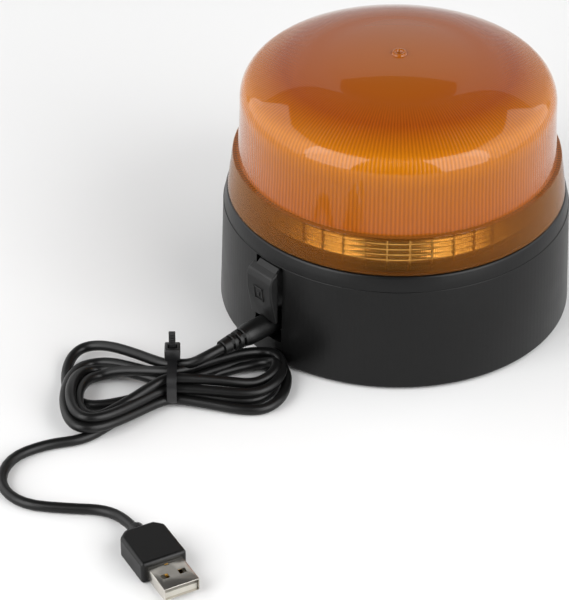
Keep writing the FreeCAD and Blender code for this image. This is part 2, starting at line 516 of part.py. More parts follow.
def electrics():
    """Battery tray and cells, control board, DC jack, switch and push button."""
    half_x = "sizes.cell_length / 2 + sizes.tray_wall"
    half_y = "sizes.cell_pitch / 2 + sizes.cell_radius + sizes.tray_wall"
    tray = new_body("battery_tray")
    extrude(tray, "tray_block", "XY_Plane", CUP_TOP, "sizes.tray_depth",
            lambda s: rectangle(s, f"-({half_x})", f"-({half_y})", half_x, half_y))
    bore = "sizes.cell_radius + sizes.part_clear"

    def cell_circles(sketch, radius):
        for sign in ("", "-"):
            circle(sketch, f"{sign}sizes.cell_pitch / 2", CELL_HEIGHT, radius)
    extrude(tray, "cell_grooves", "YZ_Plane", "-(sizes.cell_length / 2 + sizes.part_clear)",
            "sizes.cell_length + 2 * sizes.part_clear", lambda s: cell_circles(s, bore), "Pocket", True)
    cells = new_body("battery_cells")
    extrude(cells, "cell_pair", "YZ_Plane", "-sizes.cell_length / 2", "sizes.cell_length",
            lambda s: cell_circles(s, "sizes.cell_radius"))

    control = new_body("control_board")
    extrude(control, "control_plate", "XY_Plane", "sizes.control_low", "sizes.board_thick",
            lambda s: rectangle(s, "-sizes.control_length / 2", "-sizes.control_width / 2",
                                "sizes.control_length / 2", "sizes.control_width / 2"))
    extrude(control, "control_holes", "XY_Plane", "sizes.control_low", "sizes.board_thick",
            lambda s: four_at(s, CONTROL_X, CONTROL_Y, SCREW_HOLE), "Pocket", True)
    screws = new_body("control_screws")
    extrude(screws, "control_shanks", "XY_Plane", "sizes.control_low", "sizes.small_screw_length",
            lambda s: four_at(s, CONTROL_X, CONTROL_Y, "sizes.screw_radius"))
    extrude(screws, "control_heads", "XY_Plane", "sizes.control_low", "sizes.screw_head_high",
            lambda s: four_at(s, CONTROL_X, CONTROL_Y, "sizes.screw_head_radius"), backward=True)

    jack = new_body("dc_jack")
    extrude(jack, "jack_block", "XZ_Plane", f"{PORT_BACK} - sizes.jack_depth", "sizes.jack_depth",
            lambda s: rectangle(s, "-sizes.jack_width / 2", "sizes.jack_height - sizes.jack_high / 2",
                                "sizes.jack_width / 2", "sizes.jack_height + sizes.jack_high / 2"))
    extrude(jack, "jack_nose", "XZ_Plane", PORT_BACK, "sizes.port_wall - sizes.part_clear",
            lambda s: circle(s, "0", "sizes.jack_height", "sizes.jack_nose_radius"))
    extrude(jack, "jack_bore", "XZ_Plane", PORT_FACE, "sizes.barrel_length + sizes.reach",
            lambda s: circle(s, "0", "sizes.jack_height", "sizes.jack_bore_radius"), "Pocket")

    switch = new_body("switch_body")
    side = "sizes.switch_side / 2"
    extrude(switch, "switch_block", "XZ_Plane", f"-{SWITCH_FRONT}", "sizes.switch_deep",
            lambda s: rectangle(s, f"-{side}", f"sizes.button_height - {side}", side,
                                f"sizes.button_height + {side}"))
    button = new_body("power_button")
    front = f"({BUTTON_OUT} - {BUTTON_BACK})"
    turn(button, "button_turned", [
        ("0", "0"), ("sizes.button_flange", "0"), ("sizes.button_flange", "sizes.button_flange_thick"),
        ("sizes.button_radius", "sizes.button_flange_thick"),
        ("sizes.button_radius", f"{front} - sizes.button_dome"),
        ("0", front, "(sizes.button_radius^2 + sizes.button_dome^2) / (2 * sizes.button_dome)", 1)])
    button.Placement = Placement(Vector(0, value(BUTTON_BACK), value("sizes.button_height")),
                                 Rotation(Vector(1, 0, 0), -90))


def port_cover():
    """Rubber flap on a strap, and the anchor that holds the strap in the port's slot."""
    flap = new_body("port_cover_flap")
    left = "(sizes.flap_shift - sizes.flap_width / 2)"
    right = "(sizes.flap_shift + sizes.flap_width / 2)"
    low, top = FLAP_LOW, FLAP_TOP
    toe, bend = "sizes.toe_round", "sizes.flap_round"
    extrude(flap, "flap_block", "YZ_Plane", left, "sizes.flap_width", lambda s: outline(s, [
        (f"-{FLAP_BACK}", low), (f"-{FLAP_BACK}", top),
        (f"-({FLAP_FRONT} - sizes.brow_inset)", f"({FLAP_TOP} - sizes.brow_drop)"),
        (f"-{FLAP_FRONT}", f"({FLAP_TOP} - sizes.cheek_drop)", "sizes.brow_round", 1),
        (f"-{FLAP_FRONT}", f"({FLAP_TOP} - sizes.knee_drop)"),
        (f"-({FLAP_FRONT} - sizes.toe_inset)", f"{low} + {toe}"),
        (f"{toe} - ({FLAP_FRONT} - sizes.toe_inset)", low, toe, 1)]))

    def rim(sketch):
        outline(sketch, [
            (f"{right} - {bend}", low), (right, f"{low} + {bend}", bend, 1),
            (right, f"{top} - {bend}"), (f"{right} - {bend}", top, bend, 1),
            (f"{left} + {bend}", top), (left, f"{top} - {bend}", bend, 1),
            (left, f"{low} + {bend}"), (f"{left} + {bend}", low, bend, 1)])
        rectangle(sketch, f"{left} - sizes.reach", f"{low} - sizes.reach", f"{right} + sizes.reach",
                  f"{top} + sizes.reach")
    extrude(flap, "flap_rim", "XZ_Plane", f"{FLAP_FRONT} + sizes.reach",
            "sizes.flap_thick + 2 * sizes.reach", rim, "Pocket")
    nose = "sizes.strap_thick / 2"
    pivot, level = HINGE_OUT, HINGE_HEIGHT
    extrude(flap, "strap", "YZ_Plane", f"-{STRAP_HALF}", "sizes.strap_width", lambda s: outline(s, [
        (f"-{pivot}", f"{level} + {nose}"),
        (f"-({FLAP_BACK} + sizes.strap_lap)", f"{level} - sizes.strap_drop"),
        (f"-({FLAP_BACK} + sizes.strap_lap)", f"{level} - sizes.strap_drop - sizes.strap_thick"),
        (f"-{FLAP_BACK}", f"{level} - sizes.strap_thick - {nose}"),
        (f"-{pivot}", f"{level} - {nose}"),
        (f"{nose} - {pivot}", level, nose, 1),
        (f"-{pivot}", f"{level} + {nose}", nose, 1)][1:]))
    extrude(flap, "flap_plug", "XZ_Plane", FLAP_BACK, "sizes.flap_plug_length",
            lambda s: circle(s, "0", f"{FLAP_LOW} + sizes.flap_plug_up", "sizes.flap_plug_radius"),
            backward=True)
    anchor = new_body("port_cover_anchor")
    thick = "sizes.anchor_thick / 2"
    inside = f"({PORT_BACK} - sizes.anchor_gap)"
    barb = "sizes.anchor_barb"
    extrude(anchor, "anchor_tongue", "XZ_Plane", f"{inside} - sizes.anchor_head",
            f"{HINGE_OUT} - sizes.strap_thick / 2 - sizes.hinge_gap - {inside} + sizes.anchor_head",
            lambda s: rectangle(s, f"-{STRAP_HALF}", f"{HINGE_HEIGHT} - {thick}", STRAP_HALF,
                                f"{HINGE_HEIGHT} + {thick}"))
    extrude(anchor, "anchor_barbs", "XZ_Plane", f"{inside} - sizes.anchor_head", "sizes.anchor_head",
            lambda s: rectangle(s, f"-({STRAP_HALF} + {barb})", f"{HINGE_HEIGHT} - {thick} - {barb}",
                                f"{STRAP_HALF} + {barb}", f"{HINGE_HEIGHT} + {thick} + {barb}"))


SLIT_RINGS = 3


def charging_plug():
    """Moulded DC plug with a slotted, tapered strain relief and its metal barrel."""
    plug = new_body("plug_overmould")
    relief, corner = "sizes.plug_length", "sizes.plug_round"
    turn(plug, "plug_turned", [
        ("0", "0"), (f"sizes.plug_radius - {corner}", "0"), ("sizes.plug_radius", corner, corner, 1),
        ("sizes.plug_radius", f"{relief} - sizes.plug_neck"), ("sizes.relief_radius", relief),
        ("sizes.relief_end_radius", f"{relief} + sizes.relief_length"),
        ("0", f"{relief} + sizes.relief_length")])
    slope = "(sizes.relief_radius - sizes.relief_end_radius) / sizes.relief_length"
    half, out = "sizes.slit_half", "(sizes.plug_radius + sizes.reach)"
    for ring in range(SLIT_RINGS):
        finish = f"(sizes.slit_first + {ring} * sizes.slit_pitch + sizes.slit_wide)"
        core = f"(sizes.relief_radius - {slope} * {finish} - sizes.slit_deep)"
        square = [(core, f"-{half}"), (out, f"-{half}"), (out, half), (core, half)]
        leaning = [(f"({x} - {y}) * sqrt(0.5)", f"({x} + {y}) * sqrt(0.5)") for x, y in square]
        slit = extrude(plug, f"slit_{ring}", "XY_Plane", f"{relief} + {finish}", "sizes.slit_wide",
                       lambda s, corners=(leaning if ring % 2 else square): outline(s, corners), "Pocket")
        polar(plug, [slit], "sizes.slits_round")
    barrel = new_body("plug_barrel")
    bore = "sizes.barrel_radius - sizes.barrel_wall"
    turn(barrel, "barrel_turned", [
        ("0", "0"), ("sizes.barrel_radius", "0"), ("sizes.barrel_radius", "-sizes.barrel_length"),
        (bore, "-sizes.barrel_length"), (bore, "-sizes.barrel_floor"), ("0", "-sizes.barrel_floor")])
    place = Placement(Vector(0, -value(PLUG_FRONT), value("sizes.jack_height")),
                      Rotation(Vector(1, 0, 0), 90))
    plug.Placement = place
    barrel.Placement = place


def cord_tube(name, points):
    """A plain tube along straight runs joined by tangent arcs; returns its length."""
    points = [Vector(*p) for p in points]
    runs = [after - before for before, after in zip(points, points[1:])]
    edges, at, length = [], points[0], 0
    tightest = 1e9
    for index, corner in enumerate(points[1:-1]):
        before, after = runs[index], runs[index + 1]
        half_turn = before.getAngle(after) / 2
        cut = 0.45 * min(before.Length, after.Length)
        radius = cut / math.tan(half_turn)
        tightest = min(tightest, radius)
        way_in, way_out = Vector(before).normalize(), Vector(after).normalize()
        start, finish = corner - way_in * cut, corner + way_out * cut
        inward = (way_out - way_in).normalize()
        centre = corner + inward * (cut / math.sin(half_turn))
        middle = centre - inward * radius
        edges.append(Part.LineSegment(at, start).toShape())
        edges.append(Part.Arc(start, middle, finish).toShape())
        at = finish
    edges.append(Part.LineSegment(at, points[-1]).toShape())
    spine = Part.Wire(edges)
    radius = value("sizes.cord_radius")
    ring = Part.Wire(Part.makeCircle(radius, points[0], runs[0]))
    tube = solid_node(name, doc.addObject("Part::Feature", name))
    tube.Shape = spine.makePipeShell([ring], True, False)
    section = math.pi * radius ** 2
    print(f"{name}: length {spine.Length:.1f} mm, tightest bend {tightest:.1f} mm, "
          f"volume {tube.Shape.Volume / (section * spine.Length):.4f} of section times length")
    if abs(tube.Shape.Volume / (section * spine.Length) - 1) > 0.02:
        raise RuntimeError(f"{name} is not a plain tube")
    return spine.Length


HANK_PLACE = Placement(Vector(-value("sizes.hank_left"), -value("sizes.hank_out"), 0),
                       Rotation(Vector(0, 0, 1), 47))
RELIEF_END = value(f"-({PLUG_FRONT} + sizes.plug_length + sizes.relief_length)")
FLOOR = value("sizes.cord_radius + 0.05")
JACK_HEIGHT = value("sizes.jack_height")
LEAD_IN = [(0, RELIEF_END, JACK_HEIGHT), (-0.5, RELIEF_END - 5.5, JACK_HEIGHT - 0.5),
           (-3.0, -91.1, 11.0)]
TAIL = [(-4.9, -136.3, FLOOR), (-11.5, -146.5, FLOOR), (-14.0, -160.0, FLOOR), (-5.5, -171.5, FLOOR),
        (7.5, -172.5, FLOOR), (19.5, -162.5, FLOOR), (27.5, -154.8, FLOOR), (36.5, -153.9, 2.6),
        (43.3, -156.1, 3.9)]
# The hank lies in a figure of eight; its outline is given along and across the bundle.
HANK_OUTLINE = [(-2.2, 5.5), (-8, 11.5), (-16, 17.5), (-26, 24), (-34, 21.5), (-37.8, 12),
                (-37.8, 0), (-36, -12), (-31, -24), (-24, -26.6), (-14, -20.5), (-7, -12), (-2.2, -6.5),
                (2.2, -6.5), (9, -11), (18, -11.5), (28, -9), (36.5, -5), (39.8, 3), (38, 12),
                (33, 18), (26, 20.5), (16, 15), (8, 9), (2.2, 5.5)]


def rounded_frame(sketch, half_width, low, high, bend):
    """A rounded rectangle centred across the sketch."""
    outline(sketch, [
        (f"{half_width} - {bend}", low), (half_width, f"{low} + {bend}", bend, 1),
        (half_width, f"{high} - {bend}"), (f"{half_width} - {bend}", high, bend, 1),
        (f"{bend} - {half_width}", high), (f"-({half_width})", f"{high} - {bend}", bend, 1),
        (f"-({half_width})", f"{low} + {bend}"), (f"{bend} - {half_width}", low, bend, 1)])


def cord_hank():
    """The tied hank as one solid of its outer shape, and the tie round its waist."""
    hank = new_body("cord_hank")

    def lobes(sketch):
        curve = Part.BSplineCurve()
        curve.interpolate([Vector(x, y, 0) for x, y in HANK_OUTLINE], PeriodicFlag=True)
        sketch.addGeometry(curve, False)
    extrude(hank, "hank_lobes", "XY_Plane", "0", "sizes.hank_high", lobes)
    gap = "(sizes.tie_width / 2 + sizes.waist_slack)"
    extrude(hank, "waist_gap", "XY_Plane", "sizes.hank_high", "sizes.hank_high",
            lambda s: rectangle(s, f"-{gap}", "-40", gap, "40"), "Pocket")
    low, high = "sizes.waist_low", "(sizes.waist_low + sizes.waist_high)"
    extrude(hank, "waist", "YZ_Plane", "-sizes.waist_half", "2 * sizes.waist_half",
            lambda s: rounded_frame(s, "sizes.waist_width / 2", low, high, "sizes.waist_round"))
    hank.Placement = HANK_PLACE

    tie = new_body("cable_tie")
    clear, thick = "sizes.tie_clear", "sizes.tie_thick"

    def band(sketch):
        rounded_frame(sketch, f"(sizes.waist_width / 2 + {clear})", f"{low} - {clear}",
                      f"{high} + {clear}", f"(sizes.waist_round + {clear})")
        rounded_frame(sketch, f"(sizes.waist_width / 2 + {clear} + {thick})", f"{low} - {clear} - {thick}",
                      f"{high} + {clear} + {thick}", f"(sizes.waist_round + {clear} + {thick})")
    extrude(tie, "tie_band", "YZ_Plane", "-sizes.tie_width / 2", "sizes.tie_width", band)
    head_low = f"({high} + {clear} + {thick} / 2)"
    extrude(tie, "tie_head", "XY_Plane", head_low, "sizes.tie_head_high",
            lambda s: rectangle(s, "-sizes.tie_head_wide / 2", "sizes.tie_head_side",
                                "sizes.tie_head_wide / 2", "sizes.tie_head_side + sizes.tie_head_wide"))
    extrude(tie, "tie_tail", "XY_Plane", head_low, "sizes.tie_head_high + sizes.tie_tail_length",
            lambda s: circle(s, "0", "sizes.tie_head_side + sizes.tie_head_wide / 2",
                             "sizes.tie_tail_radius"))
    tie.Placement = HANK_PLACE


def usb_plug():
    """USB-A plug lying on the floor: moulded grip, steel shell, tongue and contacts."""
    place = Placement(Vector(value("sizes.usb_right"), -value("sizes.usb_out"), 0),
                      Rotation(Vector(0, 0, 1), -15))
    half = "sizes.usb_width / 2"
    middle = "(sizes.usb_high / 2)"
    grip = new_body("usb_overmould")
    corner = "sizes.usb_corner"
    extrude(grip, "grip_block", "XY_Plane", "0", "sizes.usb_high", lambda s: outline(s, [
        (corner, f"-{half}"), ("sizes.usb_length", f"-{half}"), ("sizes.usb_length", half),
        (corner, half), ("0", f"{half} - {corner}", corner, 1), ("0", f"{corner} - {half}"),
        (corner, f"-{half}", corner, 1)][1:]))

    def edges(sketch):
        rounded_frame(sketch, f"({half})", "0", "sizes.usb_high", "sizes.usb_round")
        rectangle(sketch, f"-({half} + sizes.reach)", "-sizes.reach", f"{half} + sizes.reach",
                  "sizes.usb_high + sizes.reach")
    extrude(grip, "grip_edges", "YZ_Plane", "0", "sizes.usb_length", edges, "Pocket", True)
    extrude(grip, "neck", "YZ_Plane", "-sizes.usb_neck_length", "sizes.usb_neck_length + sizes.weld",
            lambda s: circle(s, "0", middle, "sizes.usb_neck_radius"))
    shell = new_body("usb_shell")
    wall = "sizes.shell_wall"

    def frame(sketch):
        for inset in ("0", wall):
            rectangle(sketch, f"{inset} - sizes.shell_width / 2",
                      f"{middle} - sizes.shell_high / 2 + {inset}",
                      f"sizes.shell_width / 2 - {inset}", f"{middle} + sizes.shell_high / 2 - {inset}")
    extrude(shell, "shell_tube", "YZ_Plane", "sizes.usb_length", "sizes.shell_length", frame)

    def windows(sketch):
        for side in ("", "-"):
            middle_line = f"{side}sizes.window_side"
            rectangle(sketch, "sizes.usb_length + sizes.window_start",
                      f"{middle_line} - sizes.window_half",
                      "sizes.usb_length + sizes.window_start + sizes.window_long",
                      f"{middle_line} + sizes.window_half")
    extrude(shell, "shell_windows", "XY_Plane", f"{middle} + sizes.shell_high / 2", "sizes.shell_high",
            windows, "Pocket")
    tongue = new_body("usb_tongue")
    tongue_low = f"({middle} - sizes.shell_high / 2 + {wall})"
    extrude(tongue, "tongue_block", "YZ_Plane", "sizes.usb_length", "sizes.shell_length - sizes.reach",
            lambda s: rectangle(s, "-sizes.tongue_width / 2", tongue_low, "sizes.tongue_width / 2",
                                f"{tongue_low} + sizes.tongue_high"))
    contacts = new_body("usb_contacts")

    def strips(sketch):
        for place_index in (-1.5, -0.5, 0.5, 1.5):
            centre = f"{place_index} * sizes.contact_pitch"
            rectangle(sketch, "sizes.usb_length + sizes.contact_start",
                      f"{centre} - sizes.contact_width / 2",
                      "sizes.usb_length + sizes.contact_start + sizes.contact_length",
                      f"{centre} + sizes.contact_width / 2")
    extrude(contacts, "contact_strips", "XY_Plane", f"{tongue_low} + sizes.tongue_high",
            "sizes.contact_thick", strips)
    for body in (grip, shell, tongue, contacts):
        body.Placement = place


base_housing()
bottom_parts()
amber_lens()
prism_ring()
light_unit()
electrics()
port_cover()
charging_plug()
cord_tube("cord_lead_in", LEAD_IN)
cord_hank()
cord_tube("cord_tail", TAIL)
usb_plug()

doc.recompute()
problems = [item.Name for item in doc.Objects if {"Invalid", "Error"} & set(item.State)]
if problems:
    raise RuntimeError("not built: " + ", ".join(problems))
for name, thing in nodes.items():
    if thing.Shape.isNull() or not thing.Shape.isValid():
        raise RuntimeError(f"{name} has no valid shape")
os.makedirs("parts", exist_ok=True)
for name, thing in nodes.items():
    thing.Shape.exportStep(f"parts/{name}.step")
    box = thing.Shape.BoundBox
    print(f"{name}: {len(thing.Shape.Solids)} solid(s), {thing.Shape.Volume:.0f} mm3, "
          f"x {box.XMin:.1f}..{box.XMax:.1f}, y {box.YMin:.1f}..{box.YMax:.1f}, "
          f"z {box.ZMin:.1f}..{box.ZMax:.1f}")
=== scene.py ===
"""Looks of a rechargeable LED beacon with its charging lead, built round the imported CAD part."""

import math

import bpy
from bpy.props import FloatProperty, FloatVectorProperty, IntProperty, PointerProperty
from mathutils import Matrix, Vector


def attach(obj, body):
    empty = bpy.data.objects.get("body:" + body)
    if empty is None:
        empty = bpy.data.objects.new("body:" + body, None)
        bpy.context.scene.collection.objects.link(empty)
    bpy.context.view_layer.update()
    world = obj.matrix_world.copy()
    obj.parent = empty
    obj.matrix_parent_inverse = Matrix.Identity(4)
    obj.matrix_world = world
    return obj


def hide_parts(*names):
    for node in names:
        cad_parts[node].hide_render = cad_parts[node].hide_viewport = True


bl_info = {
    "name": "LED beacon",
    "version": (1, 0, 0),
    "blender": (4, 5, 0),
    "location": "3D View > Sidebar > Beacon",
    "description": "Builds the visible pieces of an amber LED beacon and its stage",
    "category": "Add Mesh",
}

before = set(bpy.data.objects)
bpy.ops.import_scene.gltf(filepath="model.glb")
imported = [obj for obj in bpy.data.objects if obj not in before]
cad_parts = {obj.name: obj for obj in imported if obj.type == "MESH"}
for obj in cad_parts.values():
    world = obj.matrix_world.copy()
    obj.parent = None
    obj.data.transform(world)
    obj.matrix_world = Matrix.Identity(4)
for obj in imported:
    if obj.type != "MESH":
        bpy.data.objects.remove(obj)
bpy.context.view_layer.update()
MM = 0.001
NO_TINT = (1.0, 1.0, 1.0)

# Places that more than one piece shares, in millimetres.
HINGE = (58.7, 37.0)
JACK_HEIGHT = 13.7
JACK_RADIUS = 4.05
BUTTON_HEIGHT = 21
DECK = 42.8
FLANGE_TOP = 57.5
FLANGE_FADE = 0.3
TIE_TURN = 47
USB_AT = (46.2, -156.9, 0)
USB_TURN = -15


# ---------------------------------------------------------------- mesh helpers

def linear(colour, tint=NO_TINT):
    """A linear colour, with alpha 1, from an sRGB hex string such as "#c08040", times a tint."""
    shares = [int(colour[place:place + 2], 16) / 255 for place in (1, 3, 5)]
    plain = [s / 12.92 if s <= 0.04045 else ((s + 0.055) / 1.055) ** 2.4 for s in shares]
    return [share * part for share, part in zip(plain, tint)] + [1.0]


def deselect():
    bpy.ops.object.select_all(action="DESELECT")


def activate(piece):
    deselect()
    piece.select_set(True)
    bpy.context.view_layer.objects.active = piece


def chain(name, corners, closed=False):
    """A line of vertices through the corners, drawn by extruding one vertex in millimetres."""
    deselect()
    bpy.ops.mesh.primitive_plane_add(size=MM)
    piece = bpy.context.object
    piece.name = name
    bpy.ops.object.mode_set(mode="EDIT")
    bpy.ops.mesh.merge(type="CENTER")
    corners = [Vector(corner) * MM for corner in corners]
    bpy.ops.transform.translate(value=corners[0])
    for before, after in zip(corners, corners[1:]):
        bpy.ops.mesh.extrude_vertices_move(TRANSFORM_OT_translate={"value": after - before})
    bpy.ops.mesh.select_all(action="SELECT")
    if closed:
        bpy.ops.object.mode_set(mode="OBJECT")
        for vertex in piece.data.vertices:
            vertex.select = vertex.index in (0, len(corners) - 1)
        bpy.ops.object.mode_set(mode="EDIT")
        bpy.ops.mesh.edge_face_add()
        bpy.ops.mesh.select_all(action="SELECT")
    return piece


def clean_normals(smooth_angle=30):
    """Merge doubles, turn the faces outward and shade the piece being edited."""
    bpy.ops.mesh.select_all(action="SELECT")
    bpy.ops.mesh.remove_doubles(threshold=0.001 * MM)
    bpy.ops.mesh.normals_make_consistent(inside=False)
    bpy.ops.object.mode_set(mode="OBJECT")
    bpy.ops.object.shade_smooth_by_angle(angle=math.radians(smooth_angle))


def turned(name, profile, steps, smooth_angle=30):
    """Spin a closed outline of (radius, height) corners about the upright axis."""
    piece = chain(name, [(radius, 0, height) for radius, height in profile], closed=True)
    bpy.ops.mesh.spin(steps=steps, angle=math.tau, center=(0, 0, 0), axis=(0, 0, 1))
    clean_normals(smooth_angle)
    return piece


def prism(name, outline, left, right, bevel=0.0, segments=3):
    """Extrude a closed outline of (y, z) corners from x left to x right and round its edges."""
    piece = chain(name, [(left, y, z) for y, z in outline], closed=True)
    bpy.ops.mesh.edge_face_add()
    bpy.ops.mesh.extrude_region_move(TRANSFORM_OT_translate={"value": ((right - left) * MM, 0, 0)})
    clean_normals()
    if bevel:
        modify(piece, "BEVEL", width=bevel * MM, segments=segments, limit_method="ANGLE",
               angle_limit=math.radians(35))
        bpy.ops.object.shade_smooth_by_angle(angle=math.radians(30))
    return piece


def block(name, low, high, bevel=0.0, segments=3):
    """A box between two corners in millimetres, with its edges rounded."""
    deselect()
    low, high = Vector(low), Vector(high)
    bpy.ops.mesh.primitive_cube_add(size=1, location=(low + high) / 2 * MM, scale=(high - low) * MM)
    piece = bpy.context.object
    piece.name = name
    bpy.ops.object.transform_apply(location=True, rotation=True, scale=True)
    if bevel:
        bpy.ops.object.mode_set(mode="EDIT")
        bpy.ops.mesh.select_all(action="SELECT")
        bpy.ops.mesh.bevel(offset=bevel * MM, segments=segments, affect="EDGES")
        bpy.ops.object.mode_set(mode="OBJECT")
        bpy.ops.object.shade_smooth_by_angle(angle=math.radians(30))
    return piece


def rod(name, radius, start, finish, sides=48):
    """A round bar between two points in millimetres."""
    deselect()
    start, finish = Vector(start), Vector(finish)
    bpy.ops.mesh.primitive_cylinder_add(vertices=sides, radius=radius * MM,
                                        depth=(finish - start).length * MM)
    piece = bpy.context.object
    piece.name = name
    piece.rotation_euler = (finish - start).to_track_quat("Z", "Y").to_euler()
    piece.location = (start + finish) / 2 * MM
    bpy.ops.object.transform_apply(location=True, rotation=True, scale=True)
    return piece


def arc(centre, radius, start, finish, steps):
    """Points on an arc in degrees, without its first one."""
    turns = [math.radians(start + (finish - start) * step / steps) for step in range(1, steps + 1)]
    return [(centre[0] + radius * math.cos(t), centre[1] + radius * math.sin(t)) for t in turns]


def place(piece, spot, turn_x=0.0, turn_z=0.0):
    """Turn a piece about its origin, move it to the spot in millimetres and fix it in the mesh."""
    activate(piece)
    piece.rotation_euler = (math.radians(turn_x), 0, math.radians(turn_z))
    piece.location = Vector(spot) * MM
    bpy.ops.object.transform_apply(location=True, rotation=True, scale=True)


def modify(piece, kind, **settings):
    """Add a modifier and apply it."""
    activate(piece)
    modifier = piece.modifiers.new(kind.title(), kind)
    for name, setting in settings.items():
        setattr(modifier, name, setting)
    bpy.ops.object.modifier_apply(modifier=modifier.name)


def cut(piece, *tools, operation="DIFFERENCE"):
    """Cut tools out of a piece, or fuse them to it, and delete them."""
    for tool in tools:
        modify(piece, "BOOLEAN", object=tool, operation=operation, solver="EXACT")
        bpy.data.objects.remove(tool)


def join(name, pieces):
    """Join pieces into one mesh."""
    activate(pieces[0])
    for piece in pieces:
        piece.select_set(True)
    bpy.ops.object.join()
    pieces[0].name = name
    return pieces[0]


def copies_round(piece, count, first=0.0):
    """Copies of a piece round the upright axis, each with its own mesh, and the piece itself."""
    made = [piece]
    for index in range(1, count):
        activate(piece)
        bpy.ops.object.duplicate()
        copy = bpy.context.object
        place(copy, (0, 0, 0), turn_z=360 * index / count + first)
        made.append(copy)
    place(piece, (0, 0, 0), turn_z=first)
    return made


def dress(piece, look, body, slot, *replaced):
    """Give a finished piece its finish and body and hide the CAD nodes it stands for; slot is not used.
    """
    piece.data.materials.clear()
    piece.data.materials.append(FINISHES[look])
    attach(piece, body)
    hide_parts(*replaced)


# ---------------------------------------------------------------- finishes

FINISHES = {}


def node(tree, kind, feeds=None, **settings):
    """Add a node; each feed is a constant or another node's output socket."""
    made = tree.nodes.new(kind)
    for name, setting in settings.items():
        setattr(made, name, setting)
    for socket, feed in (feeds or {}).items():
        if isinstance(feed, bpy.types.NodeSocket):
            tree.links.new(feed, made.inputs[socket])
        else:
            made.inputs[socket].default_value = feed
    return made


def new_finish(name):
    """A material with an empty node tree."""
    material = bpy.data.materials.new(name)
    material.use_nodes = True
    material.node_tree.nodes.clear()
    return material, material.node_tree


def finish(material, shader):
    """Join a shader to the material's output."""
    node(material.node_tree, "ShaderNodeOutputMaterial", {"Surface": shader.outputs[0]})
    return material


def spots(tree, size_mm, detail=2.0):
    """Noise on the piece's own millimetres: the patches are about size_mm across."""
    space = node(tree, "ShaderNodeTexCoord")
    return node(tree, "ShaderNodeTexNoise", {
        "Vector": space.outputs["Object"], "Scale": 1 / (size_mm * MM), "Detail": detail}).outputs["Fac"]


def moulded(name, colour, shade, roughness, ior=1.5, metallic=0.0, grain_mm=0.4, grain_deep=0.01,
            tint=NO_TINT):
    """A moulded, rolled or plated surface: fine grain, slow changes of gloss and of colour."""
    material, tree = new_finish(name)
    bump = node(tree, "ShaderNodeBump", {
        "Height": spots(tree, grain_mm, 3.0), "Strength": 1.0, "Distance": grain_deep * MM})
    gloss = node(tree, "ShaderNodeMapRange", {
        "Value": spots(tree, 7.0), "To Min": roughness * 0.85, "To Max": roughness * 1.15})
    mottle = node(tree, "ShaderNodeMix", {
        "Factor": spots(tree, 3.0, 4.0), "A": linear(colour, tint), "B": linear(shade, tint)},
        data_type="RGBA")
    return finish(material, node(tree, "ShaderNodeBsdfPrincipled", {
        "Base Color": mottle.outputs["Result"], "Roughness": gloss.outputs["Result"],
        "Metallic": metallic, "IOR": ior, "Normal": bump.outputs["Normal"]}))


def round_waves(tree, count, fade_from, fade_to):
    """Waves round the upright axis that fade in between two radii in millimetres, and the height."""
    space = node(tree, "ShaderNodeTexCoord")
    parts = node(tree, "ShaderNodeSeparateXYZ", {"Vector": space.outputs["Object"]})
    turn = node(tree, "ShaderNodeMath", {0: parts.outputs["Y"], 1: parts.outputs["X"]},
                operation="ARCTAN2")
    phase = node(tree, "ShaderNodeMath", {0: turn.outputs[0], 1: float(count)}, operation="MULTIPLY")
    wave = node(tree, "ShaderNodeMath", {0: phase.outputs[0]}, operation="SINE")
    flat = node(tree, "ShaderNodeVectorMath", {0: space.outputs["Object"], 1: (1, 1, 0)},
                operation="MULTIPLY")
    reach = node(tree, "ShaderNodeVectorMath", {0: flat.outputs[0]}, operation="LENGTH")
    fade = node(tree, "ShaderNodeMapRange", {
        "Value": reach.outputs["Value"], "From Min": fade_from * MM, "From Max": fade_to * MM})
    faded = node(tree, "ShaderNodeMath", {0: wave.outputs[0], 1: fade.outputs["Result"]},
                 operation="MULTIPLY")
    return faded.outputs[0], parts.outputs["Z"]


def colour_steps(tree, share, stops, tint=NO_TINT):
    """A ramp of sRGB hex colours at shares from 0 to 1, all times a tint."""
    ramp = node(tree, "ShaderNodeValToRGB", {"Fac": share})
    elements = ramp.color_ramp.elements
    while len(elements) < len(stops):
        elements.new(0.5)
    for element, (spot, colour) in zip(elements, stops):
        element.position = spot
        element.color = linear(colour, tint)
    return ramp.outputs["Color"]


